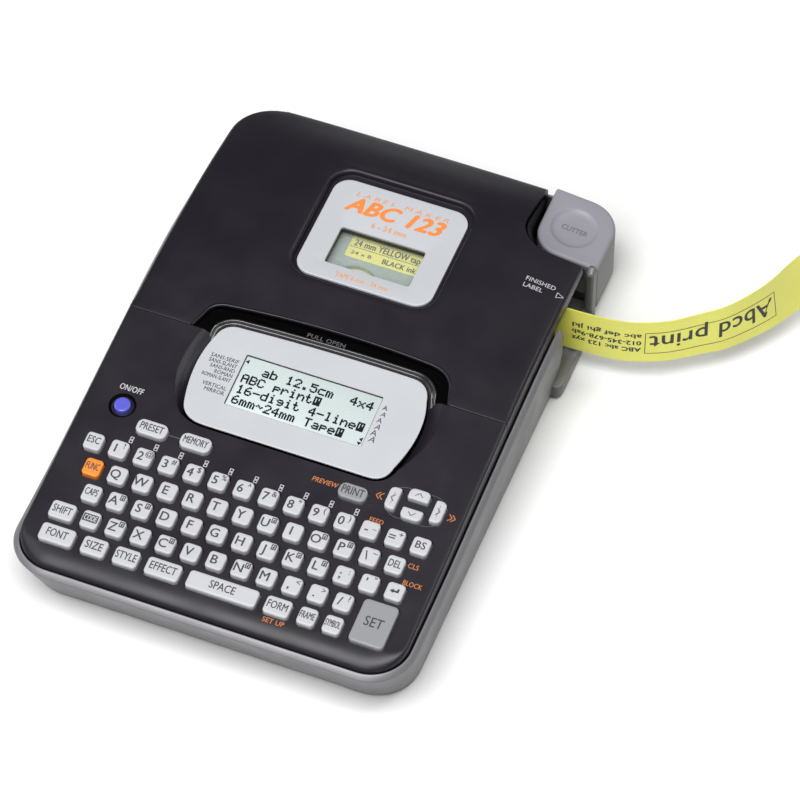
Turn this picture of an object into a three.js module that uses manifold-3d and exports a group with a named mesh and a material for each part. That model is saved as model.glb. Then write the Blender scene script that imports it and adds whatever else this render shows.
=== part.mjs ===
// A desktop label maker: case, hinged tape cover, keyboard, display, cutter and tape mechanism.
// Millimetres, +Z up, +X to the user's right, +Y to the rear.
// The origin is on the desk, midway between the sides and between front and rear.
import * as THREE from 'three';
import { mergeVertices } from 'three/addons/utils/BufferGeometryUtils.js';
import Module from 'manifold-3d';

const wasm = await Module();
wasm.setup();

// ---------- driving dimensions ----------
const HALF_W = 80.5; // half width over the rim
const FRONT = -120; // front of the rim
const REAR = 120; // rear of the rim
const FOOT_H = 1.5;
const LEDGE_PROUD = 1.5; // how far the label outlet's ledge stands out of the right side
const R_FRONT = 18;
const R_REAR_LEFT = 23;
const R_REAR_RIGHT = 13;
const WALL = 2.3; // wall of the lower case
const BASE_T = 2.5;
const SIDE_TAPER = 2.4; // the sides lean in by this from the rim to the underside
const FRONT_TAPER = 10.4; // and the front leans in by this
const TAPER_Z = 24.6; // the lean starts below this height
const RIM_UP = 1.5; // the rim's inner edge stands this far above its outer crease
const SHELL = 2.2; // wall of the black covers
const SKIN_INSET = 3.0; // the black covers sit this far inside the rim
const TILT = THREE.MathUtils.degToRad(6); // slope of the keyboard
const PLANE_Z = 41.2; // height of the keyboard plane above y = 0
const SPLIT_Y = -2; // the joint between the fascia and the tape cover
const GAP = 0.3;

// crease of the rim, from front to rear: [y, z]
const RIM_LINE = [[-120, 24.6], [-68, 26], [-8, 31.4], [38, 34.2], [70, 31.6], [95, 28], [120, 26]];
// outside of the tape cover along its middle, from its front edge to its rear edge: [y, z, fall to the sides]
const COVER_LINE = [
  [-2, 41, 0.2], [14, 42.9, 1.2], [34, 44.9, 2.8], [56, 45.9, 4.2], [76, 45.8, 5.6],
  [90, 44.4, 6.2], [102, 40.8, 4.6], [112, 36.2, 2.2], [118, 33, 1],
];
const HINGE_Y = 114.5;
const HINGE_Z = 31.5;
const HINGE_EARS = [-42, 34]; // the frame's knuckles, across x

// display
const PANEL = { front: -41.8, rear: 3.5, left: -37, right: 40.5, bulge: 7.5, r: 7 };
const LCD = { x: 1.6, y: -19, w: 56, d: 23.4 };
// finger pull behind the display: its half arch at the cover's front edge, its rear corners and its floor
const SCOOP = { left: -52.3, right: 53.9, flare: 2.4, rearLeft: 11.4, rearRight: 13.2, bow: 3.8, z: 39.5 };
// silver badge on the cover, with its window
const BADGE = { x: 2, y: 60.5, w: 56, d: 49.5, z: 42.3, t: 1.2, r: 7 };
const WINDOW = { x: 2, y: 52.8, w: 35, d: 18.4 };
// cutter corner
const CUTTER = { left: 52, front: 89, r: 11, bottom: 4.5, travel: 4, topRight: 28.5, slope: 0.12, notch: 79.8 };
// label outlet in the right side
const OUTLET = { front: 51, rear: 84, floor: 7, post: 88.4, postTop: 32.5, ledgeFront: 45 };
// battery door in the underside
const DOOR = { half: 54, front: -109.4, bay: -97.3, rear: -47, t: 1.9 };
// tape cartridge and the tape
const TAPE = { y: 62.6, bottom: 10.5, width: 24, t: 0.4 };
const CARTRIDGE = { x0: -44, x1: 48, y0: 18, y1: 84, z0: 8.4, z1: 37 };

// keys
const KEY = { w: 7.1, d: 7.5, rise: 1.9, travel: 1.2, root: -3.4, r: 1.6, hole: 0.4 };
const PITCH = 10.17;
const ROW_STEP = 10.55;
const ROW_SHIFT = 4.12; // each row towards the user starts this much further right
const FIRST_KEY = { x: -65.7, y: -63 };
const FUNCTION_ROW_Y = -104.7;

// ---------- materials ----------
const finishes = {
  charcoal: [0x2a272e, 0.45, 0.0],
  silver: [0x9c9da1, 0.42, 0.3],
  panel: [0xd6d9de, 0.4, 0.2],
  cutterGrey: [0x92949c, 0.5, 0.1],
  keyWhite: [0xd8dbe0, 0.45, 0.0],
  keyGrey: [0xa5a8a8, 0.45, 0.0],
  keyOrange: [0xf08c3c, 0.45, 0.0],
  powerBlue: [0x645fe1, 0.35, 0.0],
  glass: [0xc8dcd2, 0.1, 0.0],
  clear: [0xdde6e0, 0.1, 0.0],
  tape: [0xd7d562, 0.45, 0.0],
  rubber: [0x2b2b2b, 0.9, 0.0],
  dark: [0x3a3a3d, 0.6, 0.0],
  steel: [0xb8bcc0, 0.3, 0.9],
  board: [0x1f6b3c, 0.6, 0.0],
  cell: [0xc9a227, 0.35, 0.5],
  gearWhite: [0xe8e6df, 0.5, 0.0],
};

function material(name) {
  const [color, roughness, metalness] = finishes[name];
  return new THREE.MeshStandardMaterial({ color, roughness, metalness });
}

// ---------- solids ----------
function solid(geometry) {
  const bare = geometry.clone();
  bare.deleteAttribute('normal');
  bare.deleteAttribute('uv');
  const merged = mergeVertices(bare, 1e-4);
  const vertProperties = new Float32Array(merged.attributes.position.array);
  const triVerts = new Uint32Array(merged.index.array);
  return new wasm.Manifold(new wasm.Mesh({ numProp: 3, vertProperties, triVerts }));
}

function geometryOf(manifold) {
  const mesh = manifold.getMesh();
  const geometry = new THREE.BufferGeometry();
  geometry.setAttribute('position', new THREE.BufferAttribute(new Float32Array(mesh.vertProperties), 3));
  geometry.setIndex(new THREE.BufferAttribute(new Uint32Array(mesh.triVerts), 1));
  return geometry;
}

function box(x0, x1, y0, y1, z0, z1) {
  const geometry = new THREE.BoxGeometry(x1 - x0, y1 - y0, z1 - z0);
  geometry.translate((x0 + x1) / 2, (y0 + y1) / 2, (z0 + z1) / 2);
  return solid(geometry);
}

function prismZ(shape, z0, z1, curveSegments = 5) {
  const geometry = new THREE.ExtrudeGeometry(shape, { depth: z1 - z0, bevelEnabled: false, curveSegments });
  geometry.translate(0, 0, z0);
  return solid(geometry);
}

// a side view in (y, z), extruded across the whole width
function prismX(shape, x0, x1, curveSegments = 12) {
  const geometry = new THREE.ExtrudeGeometry(shape, { depth: x1 - x0, bevelEnabled: false, curveSegments });
  const turn = new THREE.Matrix4().set(0, 0, 1, x0, 1, 0, 0, 0, 0, 1, 0, 0, 0, 0, 0, 1);
  geometry.applyMatrix4(turn);
  return solid(geometry);
}

function cylinderZ(x, y, r, z0, z1, sides = 16) {
  const geometry = new THREE.CylinderGeometry(r, r, z1 - z0, sides);
  geometry.rotateX(Math.PI / 2);
  geometry.translate(x, y, (z0 + z1) / 2);
  return solid(geometry);
}

function cylinderX(y, z, r, x0, x1, sides = 12) {
  const geometry = new THREE.CylinderGeometry(r, r, x1 - x0, sides);
  geometry.rotateZ(Math.PI / 2);
  geometry.translate((x0 + x1) / 2, y, z);
  return solid(geometry);
}

function turned(manifold, matrix) {
  return solid(geometryOf(manifold).applyMatrix4(matrix));
}

function joined(solids) {
  return solids.reduce((all, next) => all.add(next));
}

// ---------- outlines ----------
function corneredShape(x0, x1, y0, y1, radii) {
  const [fl, fr, rr, rl] = radii;
  const quarter = Math.PI / 2;
  const shape = new THREE.Shape();
  shape.moveTo(x0 + fl, y0);
  shape.absarc(x1 - fr, y0 + fr, fr, -quarter, 0, false);
  shape.absarc(x1 - rr, y1 - rr, rr, 0, quarter, false);
  shape.absarc(x0 + rl, y1 - rl, rl, quarter, 2 * quarter, false);
  shape.absarc(x0 + fl, y0 + fl, fl, 2 * quarter, 3 * quarter, false);
  return shape;
}

function centredShape(x, y, w, d, r) {
  return corneredShape(x - w / 2, x + w / 2, y - d / 2, y + d / 2, [r, r, r, r]);
}

function caseOutline(inset) {
  const radii = [R_FRONT, R_FRONT, R_REAR_RIGHT, R_REAR_LEFT].map((r) => Math.max(r - inset, 1));
  return corneredShape(-HALF_W + inset, HALF_W - inset, FRONT + inset, REAR - inset, radii);
}

// the case outline as a prism whose front and sides lean in towards the underside
function leaningPrism(inset, z0, z1) {
  const height = z1 - z0;
  const geometry = new THREE.ExtrudeGeometry(caseOutline(inset), {
    depth: height, bevelEnabled: false, curveSegments: 5,
  });
  const position = geometry.attributes.position;
  for (let i = 0; i < position.count; i += 1) {
    const x = position.getX(i);
    const y = position.getY(i);
    const atTop = position.getZ(i) > height / 2;
    const lean = atTop ? 0 : 1 - Math.max(z0, 0) / TAPER_Z;
    const front = y < 0 ? 1 : 0;
    position.setXYZ(i, x * (1 - (SIDE_TAPER * lean) / HALF_W), y + FRONT_TAPER * lean * front, atTop ? z1 : z0);
  }
  return solid(geometry);
}

// everything below a line of [y, z] points, raised by dz
function below(points, dz, floor, divisions = 20) {
  const curve = new THREE.SplineCurve(points.map(([y, z]) => new THREE.Vector2(y, z + dz)));
  const line = curve.getPoints(divisions);
  const geometry = new THREE.BoxGeometry(2 * HALF_W + 20, divisions, 1, 1, divisions, 1);
  const position = geometry.attributes.position;
  for (let i = 0; i < position.count; i += 1) {
    const p = line[Math.round(position.getY(i) + divisions / 2)];
    position.setXYZ(i, position.getX(i), p.x, position.getZ(i) > 0 ? p.y : floor);
  }
  return solid(geometry);
}

// everything below the cover's crowned outside, which falls away towards both sides
function belowCover(dz, floor) {
  const [across, along] = [10, 16];
  const middle = new THREE.CatmullRomCurve3(COVER_LINE.map(([y, z, fall]) => new THREE.Vector3(y, z, fall)));
  const line = middle.getPoints(along);
  const geometry = new THREE.BoxGeometry(2 * HALF_W, along, 1, across, along, 1);
  const position = geometry.attributes.position;
  for (let i = 0; i < position.count; i += 1) {
    const p = line[Math.round(position.getY(i) + along / 2)];
    const x = position.getX(i);
    const top = p.y - p.z * Math.abs(x / (HALF_W - SKIN_INSET)) ** 3;
    position.setXYZ(i, x, p.x, position.getZ(i) > 0 ? top + dz : floor);
  }
  return solid(geometry);
}

function extended(points, dy) {
  const first = points[0];
  const last = points[points.length - 1];
  return [[first[0] - dy, first[1]], ...points, [last[0] + dy, last[1]]];
}

function keyboardPlane(y) {
  return PLANE_Z + y * Math.tan(TILT);
}

function cutterShape(offset) {
  const c = CUTTER;
  const rear = R_REAR_RIGHT + offset;
  return corneredShape(
    c.left - offset, HALF_W + offset, c.front - offset, REAR + offset,
    [c.r + offset, Math.max(1 + offset, 0.5), rear, Math.max(1 + offset, 0.5)],
  );
}

// ---------- lower case ----------
function bottomCase() {
  const outside = leaningPrism(0, 0, TAPER_Z).add(prismZ(caseOutline(0), TAPER_Z, 45));
  const inside = leaningPrism(WALL, BASE_T, TAPER_Z).add(prismZ(caseOutline(WALL), TAPER_Z, 50));
  let shell = outside.intersect(below(extended(RIM_LINE, 5), RIM_UP, -1)).subtract(inside);
  const ledge = new THREE.Shape();
  const ledgeX = HALF_W + LEDGE_PROUD;
  ledge.moveTo(76, OUTLET.ledgeFront - 1);
  ledge.lineTo(HALF_W - 1, OUTLET.ledgeFront);
  ledge.quadraticCurveTo(ledgeX, OUTLET.ledgeFront, ledgeX, OUTLET.ledgeFront + 4);
  ledge.lineTo(ledgeX, OUTLET.rear + 1);
  ledge.lineTo(76, OUTLET.rear + 1);
  const post = box(77.5, HALF_W, OUTLET.rear, OUTLET.post, 0, OUTLET.postTop);
  shell = shell.subtract(box(70, 95, OUTLET.front, OUTLET.rear + 1, OUTLET.floor, 60));
  shell = shell.add(prismZ(ledge, 0, OUTLET.floor, 3)).add(post);
  // the battery bay is open below, and its door slides out under the front wall
  const d = DOOR;
  const doorRoof = box(-d.half - 3, d.half + 3, -109.8, d.bay, 1, 5);
  shell = shell
    .add(doorRoof)
    .subtract(box(-d.half - GAP, d.half + GAP, d.bay, d.rear + GAP, -1, BASE_T + 1))
    .subtract(box(-d.half - GAP, d.half + GAP, FRONT - 5, d.rear + GAP, -1, d.t + GAP));
  return shell
    .subtract(cutterCorner())
    .add(cutterCore());
}

// the corner that the cutter's cap fills, and the core that guides the cap
function cutterCorner() {
  const corner = prismZ(cutterShape(0.4), BASE_T + 0.2, 60);
  const sideStrip = box(HALF_W - 2.8, HALF_W + 5, OUTLET.post, REAR + 5, -1, 60);
  const rearStrip = box(CUTTER.left - 0.4, HALF_W + 5, REAR - 2.8, REAR + 5, -1, 60);
  const rounded = prismZ(cutterShape(5), -1, 60).subtract(prismZ(cutterShape(-2.8), -2, 61));
  const rearCorner = rounded.intersect(box(HALF_W - R_REAR_RIGHT, HALF_W + 5, REAR - R_REAR_RIGHT, REAR + 5, -1, 60));
  return joined([corner, sideStrip, rearStrip, rearCorner]);
}

function cutterCore() {
  return prismZ(cutterShape(-3.2), 0.5, 20, 3).subtract(prismZ(cutterShape(-5.2), BASE_T, 21, 3));
}

function cutterButton() {
  const c = CUTTER;
  const span = HALF_W - c.left + 1;
  const top = new THREE.Shape();
  // the top slopes down to the right, so its section is drawn in (x, z) and run along y
  top.moveTo(c.left - 1, 0);
  top.lineTo(HALF_W + 1, 0);
  top.lineTo(HALF_W + 1, c.topRight);
  top.lineTo(c.left - 1, c.topRight + c.slope * span);
  const geometry = new THREE.ExtrudeGeometry(top, { depth: 60, bevelEnabled: false });
  geometry.rotateX(Math.PI / 2);
  geometry.translate(0, REAR + 10, 0);
  const wedge = solid(geometry);
  const outside = prismZ(cutterShape(0), c.bottom, 45, 6).intersect(wedge);
  const inside = prismZ(cutterShape(-2), c.bottom - 1, 26, 6);
  const innerSides = box(c.left - 1, HALF_W - 2.2, c.front - 1, REAR - 2.2, c.bottom - 1, 12);
  return outside.subtract(inside).subtract(innerSides);
}

// ---------- upper case ----------
function fascia() {
  const edge = SKIN_INSET;
  const front = FRONT + edge;
  const slope = (y) => keyboardPlane(y);
  const side = (drop, inset) => {
    const shape = new THREE.Shape();
    const start = front + inset;
    shape.moveTo(start, 15);
    shape.lineTo(start, slope(front) - 2.6 - drop);
    shape.quadraticCurveTo(start + 1, slope(front) - 0.6 - drop, start + 5, slope(start + 5) - 0.3 - drop);
    shape.lineTo(start + 8, slope(start + 8) - drop);
    shape.lineTo(SPLIT_Y + (drop ? 5 : -GAP), slope(SPLIT_Y) - drop);
    shape.lineTo(SPLIT_Y + (drop ? 5 : -GAP), 15);
    return prismX(shape, -90, 90, 4);
  };
  const outside = side(0, 0).intersect(prismZ(caseOutline(edge), 10, 60));
  const inside = side(SHELL, SHELL).intersect(prismZ(caseOutline(edge + SHELL), 9, 61));
  const skirt = below(extended(RIM_LINE, 5), -0.8, 0);
  return outside.subtract(inside).subtract(skirt).subtract(panelHole());
}

function panelShape(grow) {
  const p = PANEL;
  const y0 = p.front - grow;
  const y1 = p.rear + grow;
  const left = p.left - grow;
  const right = p.right + grow;
  const bulge = p.bulge;
  const middle = (y0 + y1) / 2 + 2;
  const shape = new THREE.Shape();
  shape.moveTo(left + p.r, y0);
  shape.lineTo(right - p.r + 3, y0);
  shape.quadraticCurveTo(right + 3, y0, right + 4, y0 + p.r);
  shape.quadraticCurveTo(right + bulge + 2.5, middle, right + 5, y1 - p.r);
  shape.quadraticCurveTo(right + 3.5, y1 + 0.8, right - p.r + 3, y1 + 0.8);
  shape.quadraticCurveTo((left + right) / 2, y1 + 1.4, left + p.r - 2, y1 - 0.6);
  shape.quadraticCurveTo(left - 2.6, y1 - 0.3, left - 4, y1 - p.r);
  shape.quadraticCurveTo(left - bulge - 1, middle, left - 4, y0 + p.r);
  shape.quadraticCurveTo(left - 2, y0, left + p.r, y0);
  return shape;
}

function panelHole() {
  return prismZ(panelShape(1.6), 20, 60, 5);
}

// ---------- tape cover ----------
function tapeCover() {
  const edge = SKIN_INSET;
  const room = box(-90, 90, SPLIT_Y, REAR + 5, 0, 80);
  const roomInside = box(-90, 90, SPLIT_Y + SHELL, REAR + 5, 0, 80);
  const outside = belowCover(0, 10).intersect(prismZ(caseOutline(edge), 0, 61)).intersect(room);
  const inside = belowCover(-SHELL, 9).intersect(prismZ(caseOutline(edge + SHELL), -1, 62)).intersect(roomInside);
  let cover = outside.subtract(inside);
  cover = cover.subtract(below(extended(RIM_LINE, 5), -0.6, 0));
  cover = cover.subtract(box(60, 95, OUTLET.front - 2, OUTLET.post, 0, TAPE.bottom + TAPE.width + 1));
  cover = cover.subtract(prismZ(cutterRoom(), 0, 61, 6));
  cover = cover.add(badgeSeat());
  cover = cover.add(scoop());
  cover = cover.subtract(badgePocket());
  cover = cover.subtract(fingerPull());
  return withHingeLugs(cover);
}

// the notch in the cover that the cutter button stands in, wider in front of the button
function cutterRoom() {
  const room = 2.6;
  const rear = REAR + room;
  const r = CUTTER.r + room;
  return corneredShape(CUTTER.left - room, HALF_W + room, CUTTER.notch, rear, [r, 1, 1, 1]);
}

// the flat floor that the badge lies on, hanging under the cover's skin
function badgeSeat() {
  const b = BADGE;
  const seatTop = b.z - 0.1;
  const seat = prismZ(centredShape(b.x, b.y, b.w + 8, b.d + 8, b.r + 4), seatTop - 2, seatTop);
  const rim = prismZ(centredShape(b.x, b.y, b.w + 8, b.d + 8, b.r + 4), seatTop - 2, 60)
    .subtract(prismZ(centredShape(b.x, b.y, b.w + 4, b.d + 4, b.r + 2), seatTop - 3, 61))
    .intersect(belowCover(-0.5, 10));
  return seat.add(rim);
}

function badgePocket() {
  const b = BADGE;
  const pocket = prismZ(centredShape(b.x, b.y, b.w + 4, b.d + 4, b.r + 2), b.z - 0.1, 60);
  const window = prismZ(centredShape(WINDOW.x, WINDOW.y, WINDOW.w, WINDOW.d, 1), 20, 60, 2);
  return pocket.add(window);
}

// the arch in the front edge that a finger reaches into, with a floor and a back wall under it
function archShape(grow) {
  const c = SCOOP;
  const left = c.left - grow;
  const right = c.right + grow;
  const rearLeft = c.rearLeft + grow;
  const rearRight = c.rearRight + grow;
  const shape = new THREE.Shape();
  shape.moveTo(left, SPLIT_Y);
  shape.lineTo(right, SPLIT_Y);
  shape.lineTo(right - c.flare, rearRight - 6.4);
  shape.quadraticCurveTo(right - 2 * c.flare, rearRight - 0.6, right - 12.4, rearRight);
  shape.quadraticCurveTo((left + right) / 2, (rearLeft + rearRight) / 2 + c.bow, left + 9.8, rearLeft);
  shape.quadraticCurveTo(left + 3.5, rearLeft - 0.8, left + c.flare, rearLeft - 6.6);
  return shape;
}

function scoop() {
  return prismZ(archShape(1.6), SCOOP.z - 1.6, 60, 4).intersect(belowCover(-0.4, 0));
}

function fingerPull() {
  const front = box(SCOOP.left, SCOOP.right, -30, SPLIT_Y + 0.2, SCOOP.z, 60);
  const arch = prismZ(archShape(0), SCOOP.z, 60, 4).add(front);
  const display = prismZ(panelShape(3.6), 10, 60, 4);
  return arch.add(display);
}

function withHingeLugs(cover) {
  const lugs = [-58, 42].map((x) => box(x - 3, x + 3, HINGE_Y - 2.2, HINGE_Y + 2.2, HINGE_Z - 2.2, HINGE_Z + 2.4));
  const bore = cylinderX(HINGE_Y, HINGE_Z, 1.5, -66, 50);
  const earGaps = HINGE_EARS.map((x) => box(x - 5, x + 5, HINGE_Y, REAR, 20, HINGE_Z - 0.4));
  const earRooms = HINGE_EARS.map((x) => cylinderX(HINGE_Y, HINGE_Z, 2.9, x - 5, x + 5));
  return [...earGaps, ...earRooms, bore].reduce((all, next) => all.subtract(next), joined([cover, ...lugs]));
}

// ---------- inner frame ----------
function innerFrame() {
  const deck = prismZ(caseOutline(5), 24, 26).intersect(box(-90, 90, 4, 106, 0, 60));
  const tub = box(-50, 52, 12, 92, 6.2, 26);
  const arms = HINGE_EARS.map((x) => box(x - 4, x + 4, 100, HINGE_Y, 24, HINGE_Z - 0.2));
  const knuckles = HINGE_EARS.map((x) => cylinderX(HINGE_Y, HINGE_Z, 2.5, x - 4, x + 4));
  const bore = cylinderX(HINGE_Y, HINGE_Z, 1.5, -66, 50);
  const bay = box(-48, 50, 14, 90, 8, 60);
  const outletPath = box(49, 95, 49, 76, 8, 60);
  const besideOutlet = box(52.5, 95, 20, 86, 0, 60);
  return joined([deck, tub, ...arms, ...knuckles])
    .subtract(bore)
    .subtract(bay)
    .subtract(outletPath)
    .subtract(besideOutlet)
    .subtract(prismZ(cutterShape(1), 0, 60));
}

// ---------- gears ----------
const MODULE = 2 / 3;
function gear(x, y, teeth, z0, z1, phase) {
  const pitchR = (MODULE * teeth) / 2;
  const tip = pitchR + 0.55 * MODULE;
  const root = pitchR - 0.95 * MODULE;
  const step = (2 * Math.PI) / teeth;
  const shape = new THREE.Shape();
  const at = (r, a) => [x + r * Math.cos(a), y + r * Math.sin(a)];
  for (let k = 0; k < teeth; k += 1) {
    const a = phase + k * step;
    const corners = [[root, -0.27], [tip, -0.1], [tip, 0.1], [root, 0.27]];
    corners.forEach(([r, share], j) => {
      const point = at(r, a + share * step);
      if (k === 0 && j === 0) shape.moveTo(...point);
      else shape.lineTo(...point);
    });
  }
  return prismZ(shape, z0, z1);
}

const PLATEN = { x: 61, y: 56.9, r: 5.2, teeth: 21 };
const IDLER = { x: 61.6, y: 43.914, teeth: 18 };
const MOTOR = { x: 62, y: 33.922, r: 11, teeth: 12 };
const GEAR_Z = [3, 5.7];

function directionTo(a, b) {
  return Math.atan2(b.y - a.y, b.x - a.x);
}

function platenRoller() {
  const p = PLATEN;
  const toIdler = directionTo(p, IDLER);
  return joined([
    gear(p.x, p.y, p.teeth, ...GEAR_Z, toIdler),
    cylinderZ(p.x, p.y, 2, 5.6, 38, 12),
    cylinderZ(p.x, p.y, p.r, 9.5, 35.5, 20),
  ]);
}

function idlerGear() {
  const toPlaten = directionTo(IDLER, PLATEN);
  const step = (2 * Math.PI) / IDLER.teeth;
  return gear(IDLER.x, IDLER.y, IDLER.teeth, ...GEAR_Z, toPlaten + step / 2);
}

function motorPinion() {
  const toIdler = directionTo(MOTOR, IDLER);
  const idlerStep = (2 * Math.PI) / IDLER.teeth;
  const idlerPhase = directionTo(IDLER, PLATEN) + idlerStep / 2;
  // where the idler's nearest tooth stands, measured from the line between the two axes
  const faced = directionTo(IDLER, MOTOR);
  const off = (faced - idlerPhase) / idlerStep;
  const share = off - Math.round(off);
  const step = (2 * Math.PI) / MOTOR.teeth;
  return joined([
    gear(MOTOR.x, MOTOR.y, MOTOR.teeth, ...GEAR_Z, toIdler + (0.5 + share) * step),
    cylinderZ(MOTOR.x, MOTOR.y, 1.2, 5.6, 7.5, 8),
  ]);
}

function motor() {
  const flats = box(MOTOR.x - 8.5, MOTOR.x + 8.5, MOTOR.y - 20, MOTOR.y + 20, 0, 60);
  const can = cylinderZ(MOTOR.x, MOTOR.y, MOTOR.r - 1, 8, 30, 20).intersect(flats);
  return can.add(cylinderZ(MOTOR.x, MOTOR.y, 3, 29.9, 31.5, 10));
}

// ---------- cartridge and tape ----------
const SPOOL = { x: -3, y: 41.3, r: 20.5 };
const RIBBON = { x: 31, y: 34, r: 10 };

function cartridgeCase() {
  const c = CARTRIDGE;
  const shell = box(c.x0, c.x1, c.y0, c.y1, c.z0, c.z1).subtract(box(c.x0 + 1.4, c.x1 - 1.4, c.y0 + 1.4, c.y1 - 1.4, c.z0 - 1, c.z1 - 1.4));
  return shell.subtract(box(c.x1 - 3, c.x1 + 1, TAPE.y - 1.2, TAPE.y + 1.2, c.z0 - 1, c.z1 - 1.4));
}

function spool(at, hub, flange) {
  const roll = cylinderZ(at.x, at.y, at.r, TAPE.bottom, TAPE.bottom + TAPE.width, 28);
  const core = cylinderZ(at.x, at.y, flange, TAPE.bottom - 0.8, TAPE.bottom + TAPE.width + 0.8, 20);
  return roll.add(core).subtract(cylinderZ(at.x, at.y, hub, 0, 50, 14));
}

// a strip standing on its edge: it runs straight out of the outlet, then curls to the rear
function labelTape() {
  const start = SPOOL.x + 3;
  const path = new THREE.CatmullRomCurve3([
    [start, 0], [34, 0], [62, 0], [77, 0.2], [88.5, 0.6], [99.7, 1.8], [108.5, 4.5], [117, 8.5],
    [127.5, 15.9], [135.6, 21.9], [148.7, 37.7], [156.5, 51.8], [162, 59.9],
  ].map(([x, dy]) => new THREE.Vector3(x, TAPE.y + dy, 0)));
  const steps = 44;
  const geometry = new THREE.BoxGeometry(1, TAPE.t, TAPE.width, steps, 1, 1);
  const position = geometry.attributes.position;
  for (let i = 0; i < position.count; i += 1) {
    const along = position.getX(i) + 0.5;
    const centre = path.getPointAt(along);
    const tangent = path.getTangentAt(along);
    const height = position.getZ(i) + TAPE.width / 2;
    const lean = 0.356 * Math.max(0, (along - 0.522) / 0.478) ** 2; // radians, away from the user
    const side = position.getY(i) * Math.cos(lean) + height * Math.sin(lean);
    const up = height * Math.cos(lean) - position.getY(i) * Math.sin(lean);
    position.setXYZ(i, centre.x - tangent.y * side, centre.y + tangent.x * side, TAPE.bottom + up);
  }
  return solid(geometry);
}

function printHead() {
  const face = TAPE.y + TAPE.t / 2 + GAP;
  return joined([
    box(57, 65, face, face + 2, 9.5, 35.5),
    box(55, 67, face + 1.9, face + 5, 8.4, 38),
  ]);
}

function cutterBlade() {
  const shape = new THREE.Shape();
  shape.moveTo(67.2, 8.4);
  shape.lineTo(80, 8.4);
  shape.lineTo(80, 36);
  shape.lineTo(68.6, 36);
  return prismX(shape, 70.6, 71.6);
}

// ---------- keyboard ----------
// keys are modelled in the keyboard plane: x across, s up the slope, n out of it
function slopeOf(y) {
  return y / Math.cos(TILT);
}

const round = (w, d, r = KEY.r) => (grow) => (x, s) => centredShape(x, s, w + 2 * grow, d + 2 * grow, r + grow);

// a cursor key: flat on its inner side and round on its outer side
function cursorShape(w, d, facing) {
  const [small, large] = [0.9, 2.2];
  const corners = {
    left: [large, small, small, large],
    right: [small, large, large, small],
    up: [small, small, large, large],
    down: [large, large, small, small],
  }[facing];
  return (grow) => (x, s) => corneredShape(
    x - w / 2 - grow, x + w / 2 + grow, s - d / 2 - grow, s + d / 2 + grow, corners.map((r) => r + grow),
  );
}

const letterKey = round(KEY.w, KEY.d);
const wide = (w) => round(w, KEY.d);
const pill = (w, d = 6.6) => round(w, d, 2.6);

// single keys: [name, x, y, outline, finish]
const SINGLE_KEYS = [
  ['key_power', -62.3, -44.1, round(6.6, 6.6, 2.6), 'powerBlue'],
  ['key_preset', -47.2, -50.6, pill(12.5), 'keyWhite'],
  ['key_memory', -29.3, -50.6, pill(12.5), 'keyWhite'],
  ['key_print', 34.3, -50.2, pill(11.4), 'keyGrey'],
  ['key_left', 49.2, -47.3, cursorShape(4.6, 9.8, 'left'), 'keyWhite'],
  ['key_up', 58.3, -43, cursorShape(8.5, 4.9, 'up'), 'keyWhite'],
  ['key_down', 58.3, -51.6, cursorShape(8.5, 4.9, 'down'), 'keyWhite'],
  ['key_right', 67.4, -47.3, cursorShape(4.6, 9.8, 'right'), 'keyWhite'],
  ['key_backspace', keyX(0, 13), keyY(0), letterKey, 'keyWhite'],
  ['key_func', keyX(1, 0), keyY(1), letterKey, 'keyOrange'],
  ['key_delete', keyX(1, 12), keyY(1), letterKey, 'keyWhite'],
  ['key_enter', keyX(2, 12), keyY(2), letterKey, 'keyWhite'],
  ['key_shift', -64.7, keyY(3), wide(9.9), 'keyWhite'],
  ['key_font', -62.5, FUNCTION_ROW_Y, wide(13.8), 'keyWhite'],
  ['key_size', -47.4, FUNCTION_ROW_Y, wide(9.9), 'keyWhite'],
  ['key_style', -34.4, FUNCTION_ROW_Y, wide(9.9), 'keyWhite'],
  ['key_effect', -19.5, FUNCTION_ROW_Y, wide(13.8), 'keyWhite'],
  ['key_space', 4.3, FUNCTION_ROW_Y, wide(28), 'keyWhite'],
  ['key_form', 26.4, FUNCTION_ROW_Y, wide(10.2), 'keyWhite'],
  ['key_frame', 38.2, FUNCTION_ROW_Y, letterKey, 'keyWhite'],
  ['key_symbol', 48.3, FUNCTION_ROW_Y, letterKey, 'keyWhite'],
  ['key_set', 62.3, -99.2, round(14, 18.6, 2), 'keyGrey'],
];
// rows of letter keys: [name, row, first column, last column]
const KEY_ROWS = [
  ['keys_number_row', 0, 0, 12],
  ['keys_upper_row', 1, 1, 11],
  ['keys_home_row', 2, 0, 11],
  ['keys_lower_row', 3, 0, 10],
];

function keyX(row, column) {
  return FIRST_KEY.x + row * ROW_SHIFT + column * PITCH;
}

function keyY(row) {
  return FIRST_KEY.y - row * ROW_STEP;
}

function keyCap(outline, x, y) {
  const s = slopeOf(y);
  return prismZ(outline(0)(x, s), KEY.root + 0.8, KEY.rise, 1);
}

function singleKey(outline, x, y) {
  const foot = prismZ(outline(0.5)(x, slopeOf(y)), KEY.root, KEY.root + 0.9, 1);
  return keyCap(outline, x, y).add(foot);
}

function rowColumns([, row, first, last]) {
  return Array.from({ length: last - first + 1 }, (_, i) => keyX(row, first + i));
}

function keyRow(entry) {
  const y = keyY(entry[1]);
  const columns = rowColumns(entry);
  const caps = columns.map((x) => keyCap(letterKey, x, y));
  const s = slopeOf(y);
  const web = box(columns[0] - 4, columns[columns.length - 1] + 4, s - 1.6, s + 1.6, KEY.root, KEY.root + 0.9);
  return joined([...caps, web]);
}

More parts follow.
